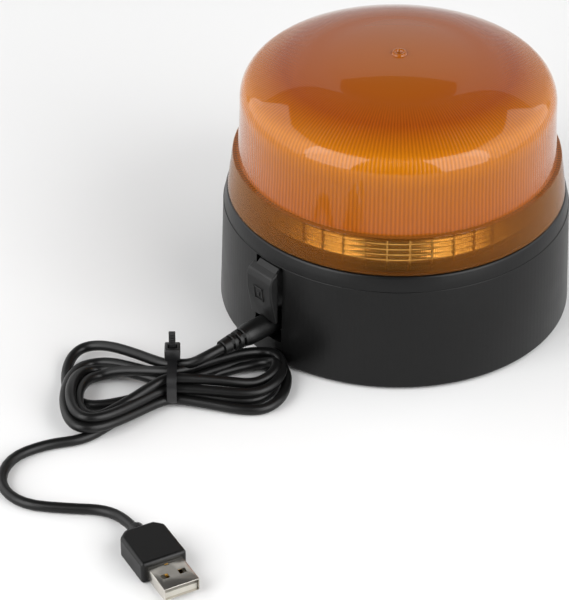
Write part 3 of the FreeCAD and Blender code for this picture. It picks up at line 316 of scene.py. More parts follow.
def amber_polycarbonate(settings):
    """Moulded amber polycarbonate, fluted inside and mirror smooth outside: the flutes show as
    fine upright lines of painted light and shade, the flange is clear and the dome above it milky,
    with a painted bright band at its shoulder and a painted shaded band above that."""
    material, tree = new_finish("moulded amber polycarbonate")
    wave, height = round_waves(tree, settings.flute_count, 27, 38)
    above = node(tree, "ShaderNodeMapRange", {
        "Value": height, "From Min": (FLANGE_TOP - FLANGE_FADE) * MM,
        "From Max": (FLANGE_TOP + FLANGE_FADE) * MM}).outputs["Result"]
    wave = node(tree, "ShaderNodeMath", {0: wave, 1: above}, operation="MULTIPLY").outputs[0]
    bump = node(tree, "ShaderNodeBump", {"Height": wave, "Strength": 1.0, "Distance": 0.05 * MM})
    up = node(tree, "ShaderNodeMapRange", {
        "Value": height, "From Min": 44 * MM, "From Max": 95 * MM}).outputs["Result"]
    # The amber's own colour by height, with a painted bright band at the dome's shoulder (0.78) and a
    # painted shaded band above it (0.90).
    amber = colour_steps(tree, up, [
        (0.0, "#8a5c2c"), (0.255, "#92602a"), (0.275, "#a6560f"), (0.60, "#ac600d"), (0.78, "#c47408"),
        (0.90, "#9c4708"), (1.0, "#a75a14")], settings.lens_tint)
    # Painted light and shade of the flutes: the amber is made lighter and darker along each flute.
    flute_painted_light = node(tree, "ShaderNodeMapRange", {
        "Value": wave, "From Min": -1.0, "From Max": 1.0, "To Min": 0.80, "To Max": 1.12})
    amber_with_painted_light = node(tree, "ShaderNodeVectorMath", {0: amber, "Scale": flute_painted_light.outputs["Result"]},
                   operation="SCALE")
    clear = node(tree, "ShaderNodeMapRange", {"Value": above, "To Min": 0.0, "To Max": 0.3})
    # Both indices are lower than polycarbonate's 1.58, so that the pale room lies less on the amber.
    shell = node(tree, "ShaderNodeBsdfPrincipled", {
        "Base Color": amber_with_painted_light.outputs[0], "Roughness": 0.18, "IOR": 1.2,
        "Transmission Weight": clear.outputs["Result"], "Normal": bump.outputs["Normal"],
        "Coat Weight": 1.0, "Coat Roughness": 0.015, "Coat IOR": 1.32})
    # The clear flange shows the prisms behind it, less so where it is seen edge on, and lamps
    # shine straight through it. The dome lets little through.
    through = colour_steps(tree, up, [(0.0, "#faefdb"), (0.255, "#faefdb"), (0.275, "#7a4a20")])
    open_wall = node(tree, "ShaderNodeBsdfTransparent", {"Color": through})
    edge = node(tree, "ShaderNodeLayerWeight", {"Blend": 0.5})
    seen = node(tree, "ShaderNodeMapRange", {
        "Value": edge.outputs["Facing"], "To Min": 1.0, "To Max": 0.3})
    below = node(tree, "ShaderNodeMath", {0: 1.0, 1: above}, operation="SUBTRACT")
    share = node(tree, "ShaderNodeMath", {0: seen.outputs["Result"], 1: below.outputs[0]},
                 operation="MULTIPLY")
    ray = node(tree, "ShaderNodeLightPath")
    open_share = node(tree, "ShaderNodeMath", {
        0: share.outputs[0], 1: ray.outputs["Is Shadow Ray"]}, operation="MAXIMUM")
    return finish(material, node(tree, "ShaderNodeMixShader", {
        0: open_share.outputs[0], 1: shell.outputs[0], 2: open_wall.outputs[0]}))


def prism_polycarbonate():
    """Moulded clear polycarbonate with prisms: each throws the light straight back, so the ribs
    gleam like metal where a light faces them and are dark between."""
    material, tree = new_finish("moulded prismatic polycarbonate")
    bump = node(tree, "ShaderNodeBump", {
        "Height": spots(tree, 4.0), "Strength": 0.5, "Distance": 0.01 * MM})
    tint = node(tree, "ShaderNodeMix", {
        "Factor": spots(tree, 2.5), "A": linear("#f6e6b4"), "B": linear("#e8d59c")}, data_type="RGBA")
    return finish(material, node(tree, "ShaderNodeBsdfPrincipled", {
        "Base Color": tint.outputs["Result"], "Roughness": 0.15, "Metallic": 0.92,
        "Normal": bump.outputs["Normal"]}))


def make_finishes(settings):
    FINISHES.update({
        "amber": amber_polycarbonate(settings),
        "prism": prism_polycarbonate(),
        # Moulded ABS: an even satin black with a spark-eroded grain. Here, as in all these finishes,
        # the grain is drawn coarser than the real one, so that it shows.
        "housing": moulded("moulded black ABS", "#070707", "#0a0a0a", 0.34, 1.33, grain_mm=0.35,
                           grain_deep=0.008, tint=settings.housing_tint),
        # EPDM rubber: duller and a little greyer, with a soft bloom.
        "rubber": moulded("moulded EPDM rubber", "#0b0b0b", "#121212", 0.5, 1.38, grain_mm=0.5,
                          grain_deep=0.02),
        # Extruded PVC: a long soft gleam down the cord.
        "pvc": moulded("extruded black PVC", "#060606", "#090909", 0.38, 1.36, grain_mm=0.8,
                       grain_deep=0.012),
        # Nylon: waxy black, seen on the cable tie.
        "nylon": moulded("moulded black nylon", "#0d0d0e", "#131314", 0.36, 1.53, grain_mm=0.6,
                         grain_deep=0.02),
        # Nickel plate over drawn steel: a warm mirror with fine drawing marks.
        "nickel": moulded("nickel plated steel", "#d8d4cc", "#c9c5bd", 0.24, metallic=1.0,
                          grain_mm=0.5, grain_deep=0.004),
        # Gold flash on the contacts.
        "gold": moulded("gold plated bronze", "#d9a84e", "#cf9c40", 0.25, metallic=1.0, grain_deep=0.003),
        # Zinc plate: greyer and duller than nickel.
        "zinc": moulded("zinc plated steel", "#b9bcc0", "#a4a8ad", 0.36, metallic=1.0, grain_deep=0.005),
        # Sintered ferrite: dark grey and chalky.
        "ferrite": moulded("sintered ferrite", "#26262a", "#343438", 0.75, grain_mm=0.3, grain_deep=0.02),
        # Solder mask: white lacquer over the weave of the board.
        "board": moulded("white solder mask on FR4", "#dedfd8", "#d2d4cb", 0.42, grain_mm=0.9,
                         grain_deep=0.008),
        # Silicone over phosphor: a yellow pad with a soft gloss.
        "led": moulded("phosphor under silicone", "#e9d26a", "#dcc254", 0.3),
        # Aluminium evaporated on a moulding: a bright funnel.
        "mirror": moulded("aluminised polycarbonate", "#e6e7ea", "#d8dadf", 0.14, metallic=1.0,
                          grain_mm=2.0, grain_deep=0.004),
        # Unseen mouldings inside.
        "inner": moulded("matt black nylon", "#19191a", "#202021", 0.6, grain_mm=0.6, grain_deep=0.02),
        # Shrink sleeve on the cells.
        "sleeve": moulded("blue PVC sleeve", "#25508c", "#2b5a9a", 0.3, grain_mm=3.0, grain_deep=0.01),
        # PBT tongue of the plug.
        "tongue": moulded("white PBT", "#b4b1a8", "#a6a39a", 0.4),
    })


CAD_LOOKS = {
    "housing": ("bottom_cover",), "rubber": ("rubber_pad", "lens_gasket", "port_cover_anchor"),
    "zinc": ("magnet_cup", "cover_screws", "magnet_screws", "led_board_screws", "control_screws"),
    "ferrite": ("magnet",), "board": ("led_board", "control_board"), "led": ("leds",),
    "mirror": ("reflector",), "inner": ("battery_tray", "dc_jack", "switch_body"),
    "sleeve": ("battery_cells",), "nickel": ("plug_barrel",), "tongue": ("usb_tongue",),
    "gold": ("usb_contacts",),
}


# ---------------------------------------------------------------- housing

PORT_FACE = 54.4
PORT_LOW = 8.9
PORT_TOP = 38.4
PORT_WALL = 2.0
SEAT_RADIUS = 56.2


def build_housing(settings):
    """Moulded cup with a sharp shoulder, a collar that rounds over to the lens seat, a port
    recess and a button hole."""
    profile = [(57.6, 0.8), (59.0, 0.8)] + arc((59.0, 1.8), 1.0, -90, 0, 4)
    profile += [(58.85, 38.3)] + arc((58.6, 38.3), 0.25, 0, 90, 3)
    profile += [(58.42, 40.0), (58.14, 41.5), (57.75, 43.0)] + arc((56.9, 43.0), 0.85, 12, 90, 5)
    profile += [(SEAT_RADIUS, 43.85), (SEAT_RADIUS, DECK), (10, DECK), (10, 40.4), (56.45, 40.4)]
    housing = turned("housing_moulding", profile, 192)
    port = settings.port_half_width / MM
    behind = block("port_block", (-port - PORT_WALL, -57.3, PORT_LOW - PORT_WALL),
                   (port + PORT_WALL, PORT_WALL - PORT_FACE, 40.9))
    cut(housing, behind, operation="UNION")
    recess = block("port_recess", (-port, -62, PORT_LOW), (port, -PORT_FACE, PORT_TOP), bevel=0.5,
                   segments=2)
    jack = rod("jack_hole", JACK_RADIUS, (0, -56, JACK_HEIGHT), (0, -50, JACK_HEIGHT))
    slot = block("anchor_slot", (-4.75, -56, 36.05), (4.75, -50, 37.95))
    button = rod("button_hole", 6.68, (0, 50, BUTTON_HEIGHT), (0, 62, BUTTON_HEIGHT))
    cut(housing, recess, jack, slot, button)
    bpy.ops.object.shade_smooth_by_angle(angle=math.radians(25))
    dress(housing, "housing", "base", "base_plastic", "base_housing")


def build_port_cover():
    """Rubber flap hanging by its strap over the recess, with a raised square frame on its face."""
    side = [(-59.7, 16.6), (-59.7, 36.7), (-62.5, 35.1)] + arc((-60.0, 32.6), 3.2, 128, 180, 3)
    side += [(-63.2, 28.3), (-61.2, 17.1), (-60.8, 16.6)]
    flap = prism("port_cover_rubber", side, -6.5, 5.3, bevel=0.55)
    cut(flap, rod("plug_notch", JACK_RADIUS, (0, -66, JACK_HEIGHT), (0, -58, JACK_HEIGHT)))
    pivot, level = HINGE
    strap = [(-60.4, level - 0.7), (-60.4, level - 2.0), (-59.7, level - 1.95), (-pivot, level - 0.65)]
    strap += arc((-pivot, level), 0.65, -90, 90, 6)
    band = prism("strap", strap, -4.6, 4.6, bevel=0.12, segments=2)
    boss = rod("flap_plug", 1.7, (0, -59.8, 23.15), (0, -57.1, 23.15))
    rails = []
    for low, high in (((-2.8, 0, -2.7), (1.4, 0.9, -2.2)), ((-2.8, 0, 2.2), (1.4, 0.9, 2.7)),
                      ((-2.8, 0, -2.7), (-2.3, 0.9, 2.7)), ((0.9, 0, -2.7), (1.4, 0.9, 2.7)),
                      ((-1.3, 0, -0.9), (-0.1, 0.9, 0.9))):
        rails.append(block("rail", low, high, bevel=0.1, segments=1))
    mark = join("square_mark", rails)
    place(mark, (0, -63.3, 27.2), turn_x=6)
    flap = join("port_cover_rubber", [flap, band, boss, mark])
    bpy.ops.object.shade_smooth_by_angle(angle=math.radians(30))
    dress(flap, "rubber", "port_cover", "cover_rubber", "port_cover_flap")


def build_button():
    """Domed rubber push button with a ring groove, opposite the port."""
    profile = [(0, 0), (7.8, 0), (7.8, 1.4), (6.6, 1.4), (6.6, 4.6)] + arc((6.2, 4.6), 0.4, 0, 80, 3)
    profile += [(5.2, 5.25), (4.9, 5.05), (4.5, 5.05), (4.2, 5.5), (2.8, 5.85), (1.4, 6.04), (0, 6.1)]
    button = turned("button_cap", profile, 64)
    place(button, (0, 54.9, BUTTON_HEIGHT), turn_x=-90)
    dress(button, "rubber", "power_button", "button_rubber", "power_button")


# ---------------------------------------------------------------- lens and light ring

LENS_WALL = 2.2
FLANGE_RADIUS = 57.3
FLANGE_TOP_RADIUS = 55.6
LENS_BOTTOM = 44.3
DOME_RADIUS = 53.6
DOME_TOP_RADIUS = 53.0
DOME_WALL_TOP = 78
DOME_ROUND = 8.9
DOME_LEAN = 62
CROWN_RADIUS = 26.8
CROWN_EDGE = 92.1
CROWN_TOP = 94.4
CROWN_RISE = CROWN_TOP - CROWN_EDGE
RING_FOOT = 46.95
RING_TOP = 55.1
ROW_PITCH = 2.05


def dome_line(inset, steps):
    """The dome from its foot to the crown's edge, that far inside the outer surface."""
    first = [(DOME_RADIUS - inset, FLANGE_TOP - inset), (53.3 - inset, 67),
             (DOME_TOP_RADIUS - inset, DOME_WALL_TOP)]
    first += arc((DOME_TOP_RADIUS - DOME_ROUND, DOME_WALL_TOP), DOME_ROUND - inset, 0, DOME_LEAN, steps)
    middle = Vector(first[-1])
    crown = Vector((CROWN_RADIUS, CROWN_EDGE - inset))
    run, rise = middle.x - crown.x, crown.y - middle.y
    slope = math.radians(DOME_LEAN)
    wide = (run ** 2 + rise ** 2) / (2 * abs(run * math.cos(slope) - rise * math.sin(slope)))
    centre = middle - Vector((math.cos(slope), math.sin(slope))) * wide
    end = math.degrees(math.atan2(crown.y - centre.y, crown.x - centre.x))
    return first + arc(centre, wide, DOME_LEAN, end, steps)


def crown_line(top, radius, rise, stop, steps):
    """The crown's shallow dome, from its edge to the stop radius."""
    wide = (radius ** 2 + rise ** 2) / (2 * rise)
    edge = math.degrees(math.acos(radius / wide))
    inner = math.degrees(math.acos(stop / wide))
    return arc((0, top - wide), wide, edge, inner, steps)


def build_lens(settings):
    """Dome, raised crown with its gate nub, and flange wall, fluted on the inside."""
    steps = 2 * settings.flute_count
    outer = [(FLANGE_RADIUS - LENS_WALL, LENS_BOTTOM), (FLANGE_RADIUS, LENS_BOTTOM),
             (FLANGE_TOP_RADIUS, 56.9)]
    outer += arc((55.0, 56.9), 0.6, 0, 90, 3)
    outer += [(54.2, FLANGE_TOP), (53.9, 57.6)]
    outer += dome_line(0, 12)[1:] + crown_line(CROWN_TOP, CROWN_RADIUS, CROWN_RISE, 2.6, 8)
    outer += [(2.35, 95.0), (1.9, 95.15), (1.4, 95.0), (1.0, 94.4), (0.4, 94.2), (0, 94.2)]
    inner = dome_line(LENS_WALL, 12)
    inner += crown_line(CROWN_TOP - LENS_WALL, CROWN_RADIUS, CROWN_RISE, 0.0, 6)
    inner.reverse()
    inner += [(FLANGE_TOP_RADIUS - LENS_WALL, FLANGE_TOP - LENS_WALL)]
    lens = turned("lens_moulding", outer + inner, steps, smooth_angle=25)
    fluted = {(round(r, 2), round(z, 2)) for r, z in inner if 26 < r < 52}
    bpy.ops.object.mode_set(mode="EDIT")
    bpy.ops.mesh.select_all(action="DESELECT")
    bpy.ops.mesh.select_mode(type="VERT")
    bpy.ops.object.mode_set(mode="OBJECT")
    for vertex in lens.data.vertices:
        radius = math.hypot(vertex.co.x, vertex.co.y) / MM
        turn = math.atan2(vertex.co.y, vertex.co.x) / math.tau * steps
        inside = (round(radius, 2), round(vertex.co.z / MM, 2)) in fluted
        vertex.select = inside and round(turn) % 2 == 1
    bpy.ops.object.mode_set(mode="EDIT")
    shrink = 1 - settings.flute_depth / (50 * MM)
    bpy.ops.transform.resize(value=(shrink, shrink, 1), center_override=(0, 0, 0))
    bpy.ops.object.mode_set(mode="OBJECT")
    dress(lens, "amber", "base", "amber_lens", "lens")


def build_light_ring(settings):
    """Ring behind the flange: rows of upward-facing prisms over a plain band, with joints."""
    profile = [(51.1, DECK), (52.3, DECK), (52.3, 46.9)]
    for row in range(4):
        low = RING_FOOT + row * ROW_PITCH
        profile += [(51.97, low + 0.1), (52.8, low + 0.2)]
        profile += arc((49.87, low - 0.93), 3.27, 21, 50, 5)
    profile += [(52.3, RING_TOP), (51.1, RING_TOP)]
    ring = turned("prism_ring_moulding", profile, 180, smooth_angle=50)
    bar = block("joint_bar", (52.0, -0.35, 43.0), (53.0, 0.35, 55.05), bevel=0.12, segments=1)
    bars = copies_round(bar, settings.joint_count)
    ring = join("prism_ring_moulding", [ring] + bars)
    dress(ring, "prism", "base", "clear_ring", "prism_ring")


# ---------------------------------------------------------------- plug, tie and cord

PLUG_FRONT = 54.7
RELIEF_START = 15.8
RELIEF_RADIUS = 3.45
RELIEF_TAPER = 0.0909


def relief_radius(along):
    """Radius of the tapering strain relief, that far from the plug's front."""
    return RELIEF_RADIUS - (along - RELIEF_START) * RELIEF_TAPER


def build_charging_plug():
    """Moulded plug with a bead at its mouth and a slotted, tapering strain relief."""
    body = [(0, 0), (3.3, 0)] + arc((3.3, 0.55), 0.55, -90, 0, 3)
    body += [(3.85, 1.2), (3.7, 1.7), (3.78, 6), (3.85, 11), (3.8, 14.4), (RELIEF_RADIUS, RELIEF_START),
             (0, RELIEF_START)]
    pieces = [turned("plug_grip", body, 64)]
    pieces.append(turned("relief_core", [(0, 15.7), (2.55, 15.7), (1.95, 25.2), (0, 25.2)], 48))
    for low, high in ((15.7, 17.2), (18.1, 19.5), (20.4, 21.8), (22.7, 25.7)):
        wide, narrow = relief_radius(low), relief_radius(high)
        pieces.append(turned("relief_ring", [
            (0, low), (wide - 0.15, low), (wide, low + 0.15), (narrow, high - 0.15),
            (narrow - 0.15, high), (0, high)], 48))
    for index, low in enumerate((17.1, 19.4, 21.7)):
        reach = relief_radius(low + 0.5) - 0.1
        rib = block("relief_rib", (0, -0.75, low), (reach, 0.75, low + 1.1))
        pieces += copies_round(rib, 4, first=45 if index % 2 == 0 else 0)
    plug = join("plug_moulding", pieces)
    place(plug, (0, -PLUG_FRONT, JACK_HEIGHT), turn_x=90)
    bpy.ops.object.shade_smooth_by_angle(angle=math.radians(30))
    dress(plug, "pvc", "charging_lead", "cord_pvc", "plug_overmould")


def rounded_box(half_width, low, high, bend):
    """Corners of a rounded rectangle, as (across, height)."""
    points = []
    for x, y, first in ((half_width - bend, low + bend, -90), (half_width - bend, high - bend, 0),
                        (bend - half_width, high - bend, 90), (bend - half_width, low + bend, 180)):
        points += arc((x, y), bend, first - 22.5, first + 90, 5)
    return points


def build_cable_tie():
    """Nylon tie round the hank's waist: band, head with its mouth, and the cut-off tail."""
    band = prism("tie_band", rounded_box(8.1, 0.1, 12.7, 5.1), -1.6, 1.6)
    hole = prism("tie_hole", rounded_box(7.1, 1.1, 11.7, 4.1), -3, 3)
    cut(band, hole)
    head = block("tie_head", (-2.6, 2.7, 12.2), (2.6, 7.9, 16.6), bevel=0.5)
    cut(head, block("tie_mouth", (-1.6, 4.0, 14.2), (1.6, 6.2, 18)))
    tail = block("tie_tail", (-1.1, 4.7, 12.5), (1.1, 5.7, 22.4), bevel=0.15, segments=1)
    teeth = [block("tie_tooth", (-0.8, 4.45, 16.9 + step * 0.95), (0.8, 4.8, 17.35 + step * 0.95))
             for step in range(5)]
    tie = join("tie_moulding", [band, head, tail] + teeth)
    place(tie, TIE_AT, turn_z=TIE_TURN)
    bpy.ops.object.shade_smooth_by_angle(angle=math.radians(30))
    dress(tie, "nylon", "charging_lead", "tie_nylon", "cable_tie")


def build_usb_plug():
    """Moulded grip of the USB plug with a necked end, and its folded shell with two windows."""
    corners = [(0, -4.9), (2.6, -7.7), (18.2, -7.7), (18.2, 7.7), (2.6, 7.7), (0, 4.9)]
    grip = chain("usb_grip", [(x, y, 0) for x, y in corners], closed=True)
    bpy.ops.mesh.edge_face_add()
    bpy.ops.mesh.extrude_region_move(TRANSFORM_OT_translate={"value": (0, 0, 7.8 * MM)})
    clean_normals()
    modify(grip, "BEVEL", width=1.1 * MM, segments=4, limit_method="ANGLE",
           angle_limit=math.radians(35))
    shell = block("usb_shell_sheet", (18.1, -6, 1.65), (30.2, 6, 6.15), bevel=0.3, segments=2)
    bore = block("shell_bore", (17, -5.7, 1.95), (31, 5.7, 5.85))
    holes = [block("shell_window", (23.4, y - 1.25, 1), (25.6, y + 1.25, 7)) for y in (-2.9, 2.9)]
    holes.append(block("shell_notch", (19.2, -0.8, 5), (19.9, 0.8, 7)))
    cut(shell, bore, *holes)
    bpy.ops.object.shade_smooth_by_angle(angle=math.radians(30))
    place(shell, USB_AT, turn_z=USB_TURN)
    dress(shell, "nickel", "charging_lead", "nickel", "usb_shell")
    neck = [(0, -3.0), (2.7, -3.0), (2.9, -2.6), (2.9, 0.4), (0, 0.4)]
    sleeve = turned("usb_neck", neck, 40)
    activate(sleeve)
    sleeve.rotation_euler = (0, math.radians(90), 0)
    sleeve.location = (0, 0, 3.9 * MM)
    bpy.ops.object.transform_apply(location=True, rotation=True, scale=True)
    grip = join("usb_grip_moulding", [grip, sleeve])
    place(grip, USB_AT, turn_z=USB_TURN)
    bpy.ops.object.shade_smooth_by_angle(angle=math.radians(30))
    dress(grip, "pvc", "charging_lead", "cord_pvc", "usb_overmould")


RELIEF_END = -80.4
FLOOR = 1.8
CORD_DIAMETER = 3.5
LEAD_IN = [(0, RELIEF_END, JACK_HEIGHT), (-0.5, RELIEF_END - 5.5, JACK_HEIGHT - 0.5),
           (-3.0, -91.1, 11.0)]
TAIL = [(-4.9, -136.3, FLOOR), (-11.5, -146.5, FLOOR), (-14.0, -160.0, FLOOR), (-5.5, -171.5, FLOOR),
        (7.5, -172.5, FLOOR), (19.5, -162.5, FLOOR), (27.5, -154.8, FLOOR), (36.5, -153.9, 2.6),
        (43.3, -156.1, 3.9)]
TIE_AT = Vector((-5.07, -97.8, 0))
ALONG = Vector((math.cos(math.radians(TIE_TURN)), math.sin(math.radians(TIE_TURN)), 0))
ACROSS = Vector((ALONG.y, -ALONG.x, 0))
# Where the cord crosses the tie: across the bundle and height, in the order of the turns.
PASSES = [(-4.6, 9.6), (1.9, 2.8), (-3.5, 5.9), (5.4, 2.8), (0.1, 5.9), (3.7, 5.9), (-1.4, 9.1),
          (2.2, 9.0), (-1.8, 2.8)]
# Each lobe: length, half width, lean, and heights on its first side, at its end, on its second side.
LOBES = [(36, 14.5, -0.26, 4.5, 1.8, 1.8), (34, 10, -0.20, 1.8, 1.8, 1.8),
         (35.5, 19, 0.17, 2.5, 5.0, 5.2), (38, 13.4, -0.15, 1.8, 2.5, 1.8),
         (33.5, 16.5, 0.20, 2.6, 7.6, 7.4), (36.5, 11, -0.26, 4.7, 5.3, 4.7),
         (31, 12.5, 0.22, 3.0, 5.0, 5.0), (34.5, 6.2, -0.26, 5.0, 6.5, 3.0)]
LOBE_POINTS = 12


def lobe(index):
    """One lobe of the hank as (along, across, height); even ones lie on the left."""
    length, width, lean, first, far, second = LOBES[index]
    start, finish = PASSES[index], PASSES[index + 1]
    side = -1 if index % 2 == 0 else 1
    heights = [start[1], first, far, second, finish[1]]
    points = []
    for step in range(1, LOBE_POINTS):
        turn = math.pi * step / LOBE_POINTS
        reach = length * math.sin(turn) ** 0.75
        lane = start[0] if turn < math.pi / 2 else finish[0]
        across = lane * (1 - reach / length) + lean * reach + side * width * math.sin(2 * turn)
        quarter = turn / (math.pi / 4)
        low = min(int(quarter), 3)
        share = quarter - low
        height = heights[low] * (1 - share) + heights[low + 1] * share
        points.append((side * reach, across, height))
    return points


def hank():
    """The cord's turns from the lead-in to the tail."""
    points = [(2.5, PASSES[0][0], PASSES[0][1] + 0.3), (-2.5, *PASSES[0])]
    for index in range(len(LOBES)):
        side = -1 if index % 2 == 0 else 1
        points += lobe(index)
        points += [(side * 2.5, *PASSES[index + 1]), (-side * 2.5, *PASSES[index + 1])]
    points += [(-12, 10, FLOOR), (-20, 18, FLOOR)]
    return [TIE_AT + ALONG * u + ACROSS * v + Vector((0, 0, z)) for u, v, z in points]


def build_cord():
    """The whole charging cord as one line: lead-in, the hank's turns and the tail."""
    points = [Vector(p) for p in LEAD_IN] + hank() + [Vector(p) for p in TAIL]
    curve = bpy.data.curves.new("charging_cord", "CURVE")
    curve.dimensions = "3D"
    curve.bevel_depth = CORD_DIAMETER / 2 * MM
    curve.bevel_resolution = 5
    curve.resolution_u = 4
    curve.use_fill_caps = True
    spline = curve.splines.new("NURBS")
    spline.points.add(len(points) - 1)
    for spot, point in zip(spline.points, points):
        spot.co = (*(point * MM), 1)
    spline.order_u = 3
    spline.use_endpoint_u = True
    cord = bpy.data.objects.new("charging_cord", curve)
    bpy.context.scene.collection.objects.link(cord)
    dress(cord, "pvc", "charging_lead", "cord_pvc", "cord_lead_in", "cord_hank", "cord_tail")
    on_it = [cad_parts[name] for name in ("usb_tongue", "usb_contacts")]
    on_it += [bpy.data.objects[name] for name in (
        "usb_grip_moulding", "usb_shell_sheet", "tie_moulding")]


# ---------------------------------------------------------------- stage

CAMERA_SPOT = Vector((0.6448, -0.6532, 0.6294))
CAMERA_FORWARD = Vector((-0.6015, 0.5609, -0.5688))


def from_camera(turn, lift, distance):
    """A place seen from the beacon, turned from the camera's own direction, in degrees."""
    heading = math.atan2(CAMERA_SPOT.y, CAMERA_SPOT.x) + math.radians(turn)
    lift = math.radians(lift)
    return Vector((math.cos(heading) * math.cos(lift), math.sin(heading) * math.cos(lift),
                   math.sin(lift))) * distance


def area_light(name, spot, wide, high, power):
    """A soft rectangular light at a spot, facing the beacon, in metres."""
    lamp = bpy.data.lights.new(name, "AREA")
    lamp.shape = "RECTANGLE"
    lamp.size = wide
    lamp.size_y = high
    lamp.energy = power
    thing = bpy.data.objects.new(name, lamp)
    bpy.context.scene.collection.objects.link(thing)
    thing.location = spot
    thing.rotation_euler = (Vector((0, 0, 0.06)) - spot).to_track_quat("-Z", "Y").to_euler()


def build_stage(settings):
    """Pale paper sweep, two softboxes with side panels, a back panel and the camera."""
    deselect()
    bpy.ops.mesh.primitive_plane_add(size=7)
    floor = bpy.context.object
    floor.name = "studio_floor"
    material, tree = new_finish("matt white paper sweep")
    floor.data.materials.append(finish(material, node(
        tree, "ShaderNodeBsdfDiffuse", {"Color": linear("#dadada")})))
    for side in (-1, 1):
        area_light(f"softbox {side}", from_camera(side * 47, 27, 1.5), 0.95, 1.6, 24 * settings.light)
        area_light(f"side panel {side}", from_camera(side * 97, 27, 1.7), 2.2, 1.8, 26 * settings.light)
    area_light("back panel", from_camera(180, 20, 2.4), 5.0, 2.0, 18 * settings.light)
    world = bpy.data.worlds.new("studio")
    bpy.context.scene.world = world
    world.use_nodes = True
    world.node_tree.nodes["Background"].inputs["Color"].default_value = linear("#ffffff")
    world.node_tree.nodes["Background"].inputs["Strength"].default_value = 0.08
    bpy.context.scene.view_settings.view_transform = "Standard"
    camera = bpy.data.cameras.new("camera")
    camera.lens = 192.0
    camera.sensor_width = 36.0
    camera.clip_start = 0.01
    thing = bpy.data.objects.new("camera", camera)
    bpy.context.scene.collection.objects.link(thing)
    thing.location = CAMERA_SPOT
    thing.rotation_euler = CAMERA_FORWARD.to_track_quat("-Z", "Y").to_euler()
    bpy.context.scene.camera = thing


# ---------------------------------------------------------------- add-on

class BeaconSettings(bpy.types.PropertyGroup):
    """Sizes and colours that a user would change."""

    flute_count: IntProperty(
        name="Flutes", description="Upright flutes round the inside of the lens", default=240, min=60)
    flute_depth: FloatProperty(
        name="Flute depth", description="Depth of a flute", default=0.3 * MM, unit="LENGTH")
    joint_count: IntProperty(
        name="Ring joints", description="Upright joints round the prism ring", default=45, min=3)
    port_half_width: FloatProperty(
        name="Port half width", description="Half the width of the charging port's recess",
        default=6.4 * MM, unit="LENGTH")
    cord_length: FloatProperty(
        name="Cord length", description="Length of the charging cord", default=0.90, unit="LENGTH")
    lens_tint: FloatVectorProperty(
        name="Lens tint", description="Colour laid over the lens's ambers; white leaves them as they are",
        default=NO_TINT, min=0.0, max=1.0, subtype="COLOR")
    housing_tint: FloatVectorProperty(
        name="Housing tint", description="Colour laid over the housing's black; white leaves it as it is",
        default=NO_TINT, min=0.0, max=1.0, subtype="COLOR")
    light: FloatProperty(
        name="Light", description="Strength of all studio lights", default=1.0, min=0.0)


def checked(context, *names):
    """Stop with an error if a piece wasn't made."""
    missing = [name for name in names if name not in context.scene.objects]
    if missing:
        raise RuntimeError("not made: " + ", ".join(missing))
    return {"FINISHED"}


class BEACON_OT_finishes(bpy.types.Operator):
    """Make every finish and give the inner and metal parts theirs"""

    bl_idname = "beacon.finishes"
    bl_label = "Finishes"

    def execute(self, context):
        make_finishes(context.scene.beacon)
        for look, names in CAD_LOOKS.items():
            for name in names:
                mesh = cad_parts[name].data
                mesh.materials.clear()
                mesh.materials.append(FINISHES[look])
        return {"FINISHED"}


class BEACON_OT_housing(bpy.types.Operator):
    """Build the black housing"""

    bl_idname = "beacon.housing"
    bl_label = "Housing"

    def execute(self, context):
        build_housing(context.scene.beacon)
        return checked(context, "housing_moulding")


class BEACON_OT_port_cover(bpy.types.Operator):
    """Build the rubber port cover and the push button"""

    bl_idname = "beacon.port_cover"
    bl_label = "Port cover and button"

    def execute(self, context):
        build_port_cover()
        build_button()
        return checked(context, "port_cover_rubber", "button_cap")


class BEACON_OT_lens(bpy.types.Operator):
    """Build the amber lens"""

    bl_idname = "beacon.lens"
    bl_label = "Lens"

    def execute(self, context):
        build_lens(context.scene.beacon)
        return checked(context, "lens_moulding")


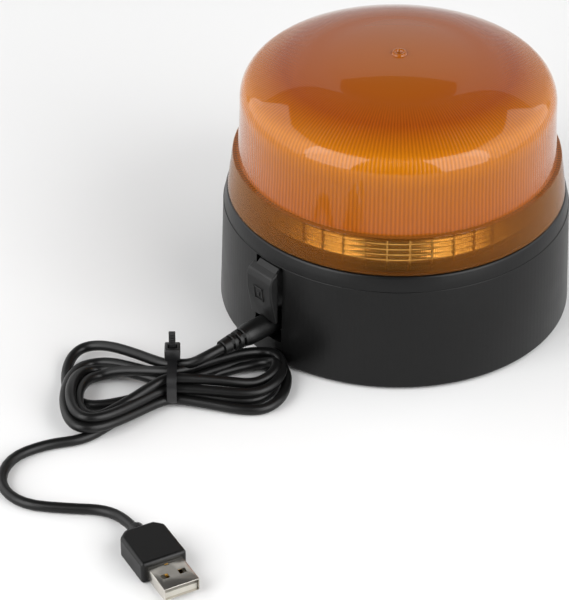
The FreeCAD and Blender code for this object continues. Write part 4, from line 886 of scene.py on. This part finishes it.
class BEACON_OT_light_ring(bpy.types.Operator):
    """Build the prism ring behind the lens flange"""

    bl_idname = "beacon.light_ring"
    bl_label = "Prism ring"

    def execute(self, context):
        build_light_ring(context.scene.beacon)
        return checked(context, "prism_ring_moulding")


class BEACON_OT_lead(bpy.types.Operator):
    """Build the charging lead: both plugs, the cable tie and the cord"""

    bl_idname = "beacon.lead"
    bl_label = "Charging lead"

    def execute(self, context):
        build_charging_plug()
        build_cable_tie()
        build_usb_plug()
        build_cord()
        return checked(context, "plug_moulding", "tie_moulding", "usb_grip_moulding", "charging_cord")


class BEACON_OT_stage(bpy.types.Operator):
    """Build the floor, the lights and the camera"""

    bl_idname = "beacon.stage"
    bl_label = "Stage"

    def execute(self, context):
        build_stage(context.scene.beacon)
        return checked(context, "studio_floor", "camera")


OPERATORS = (BEACON_OT_finishes, BEACON_OT_housing, BEACON_OT_port_cover, BEACON_OT_lens,
             BEACON_OT_light_ring, BEACON_OT_lead, BEACON_OT_stage)


class BEACON_PT_panel(bpy.types.Panel):
    """Sizes of the beacon and the buttons that build it"""

    bl_idname = "BEACON_PT_panel"
    bl_label = "LED beacon"
    bl_space_type = "VIEW_3D"
    bl_region_type = "UI"
    bl_category = "Beacon"

    def draw(self, context):
        settings = context.scene.beacon
        for name in ("flute_count", "flute_depth", "joint_count", "port_half_width", "cord_length",
                     "lens_tint", "housing_tint", "light"):
            self.layout.prop(settings, name)
        for operator in OPERATORS:
            self.layout.operator(operator.bl_idname)


CLASSES = (BeaconSettings, *OPERATORS, BEACON_PT_panel)


def register():
    for made in CLASSES:
        bpy.utils.register_class(made)
    bpy.types.Scene.beacon = PointerProperty(type=BeaconSettings)


def unregister():
    del bpy.types.Scene.beacon
    for made in reversed(CLASSES):
        bpy.utils.unregister_class(made)


def main():
    register()
    bpy.ops.beacon.finishes()
    bpy.ops.beacon.housing()
    bpy.ops.beacon.port_cover()
    bpy.ops.beacon.lens()
    bpy.ops.beacon.light_ring()
    bpy.ops.beacon.lead()
    bpy.ops.beacon.stage()


if __name__ == "__main__":
    main()
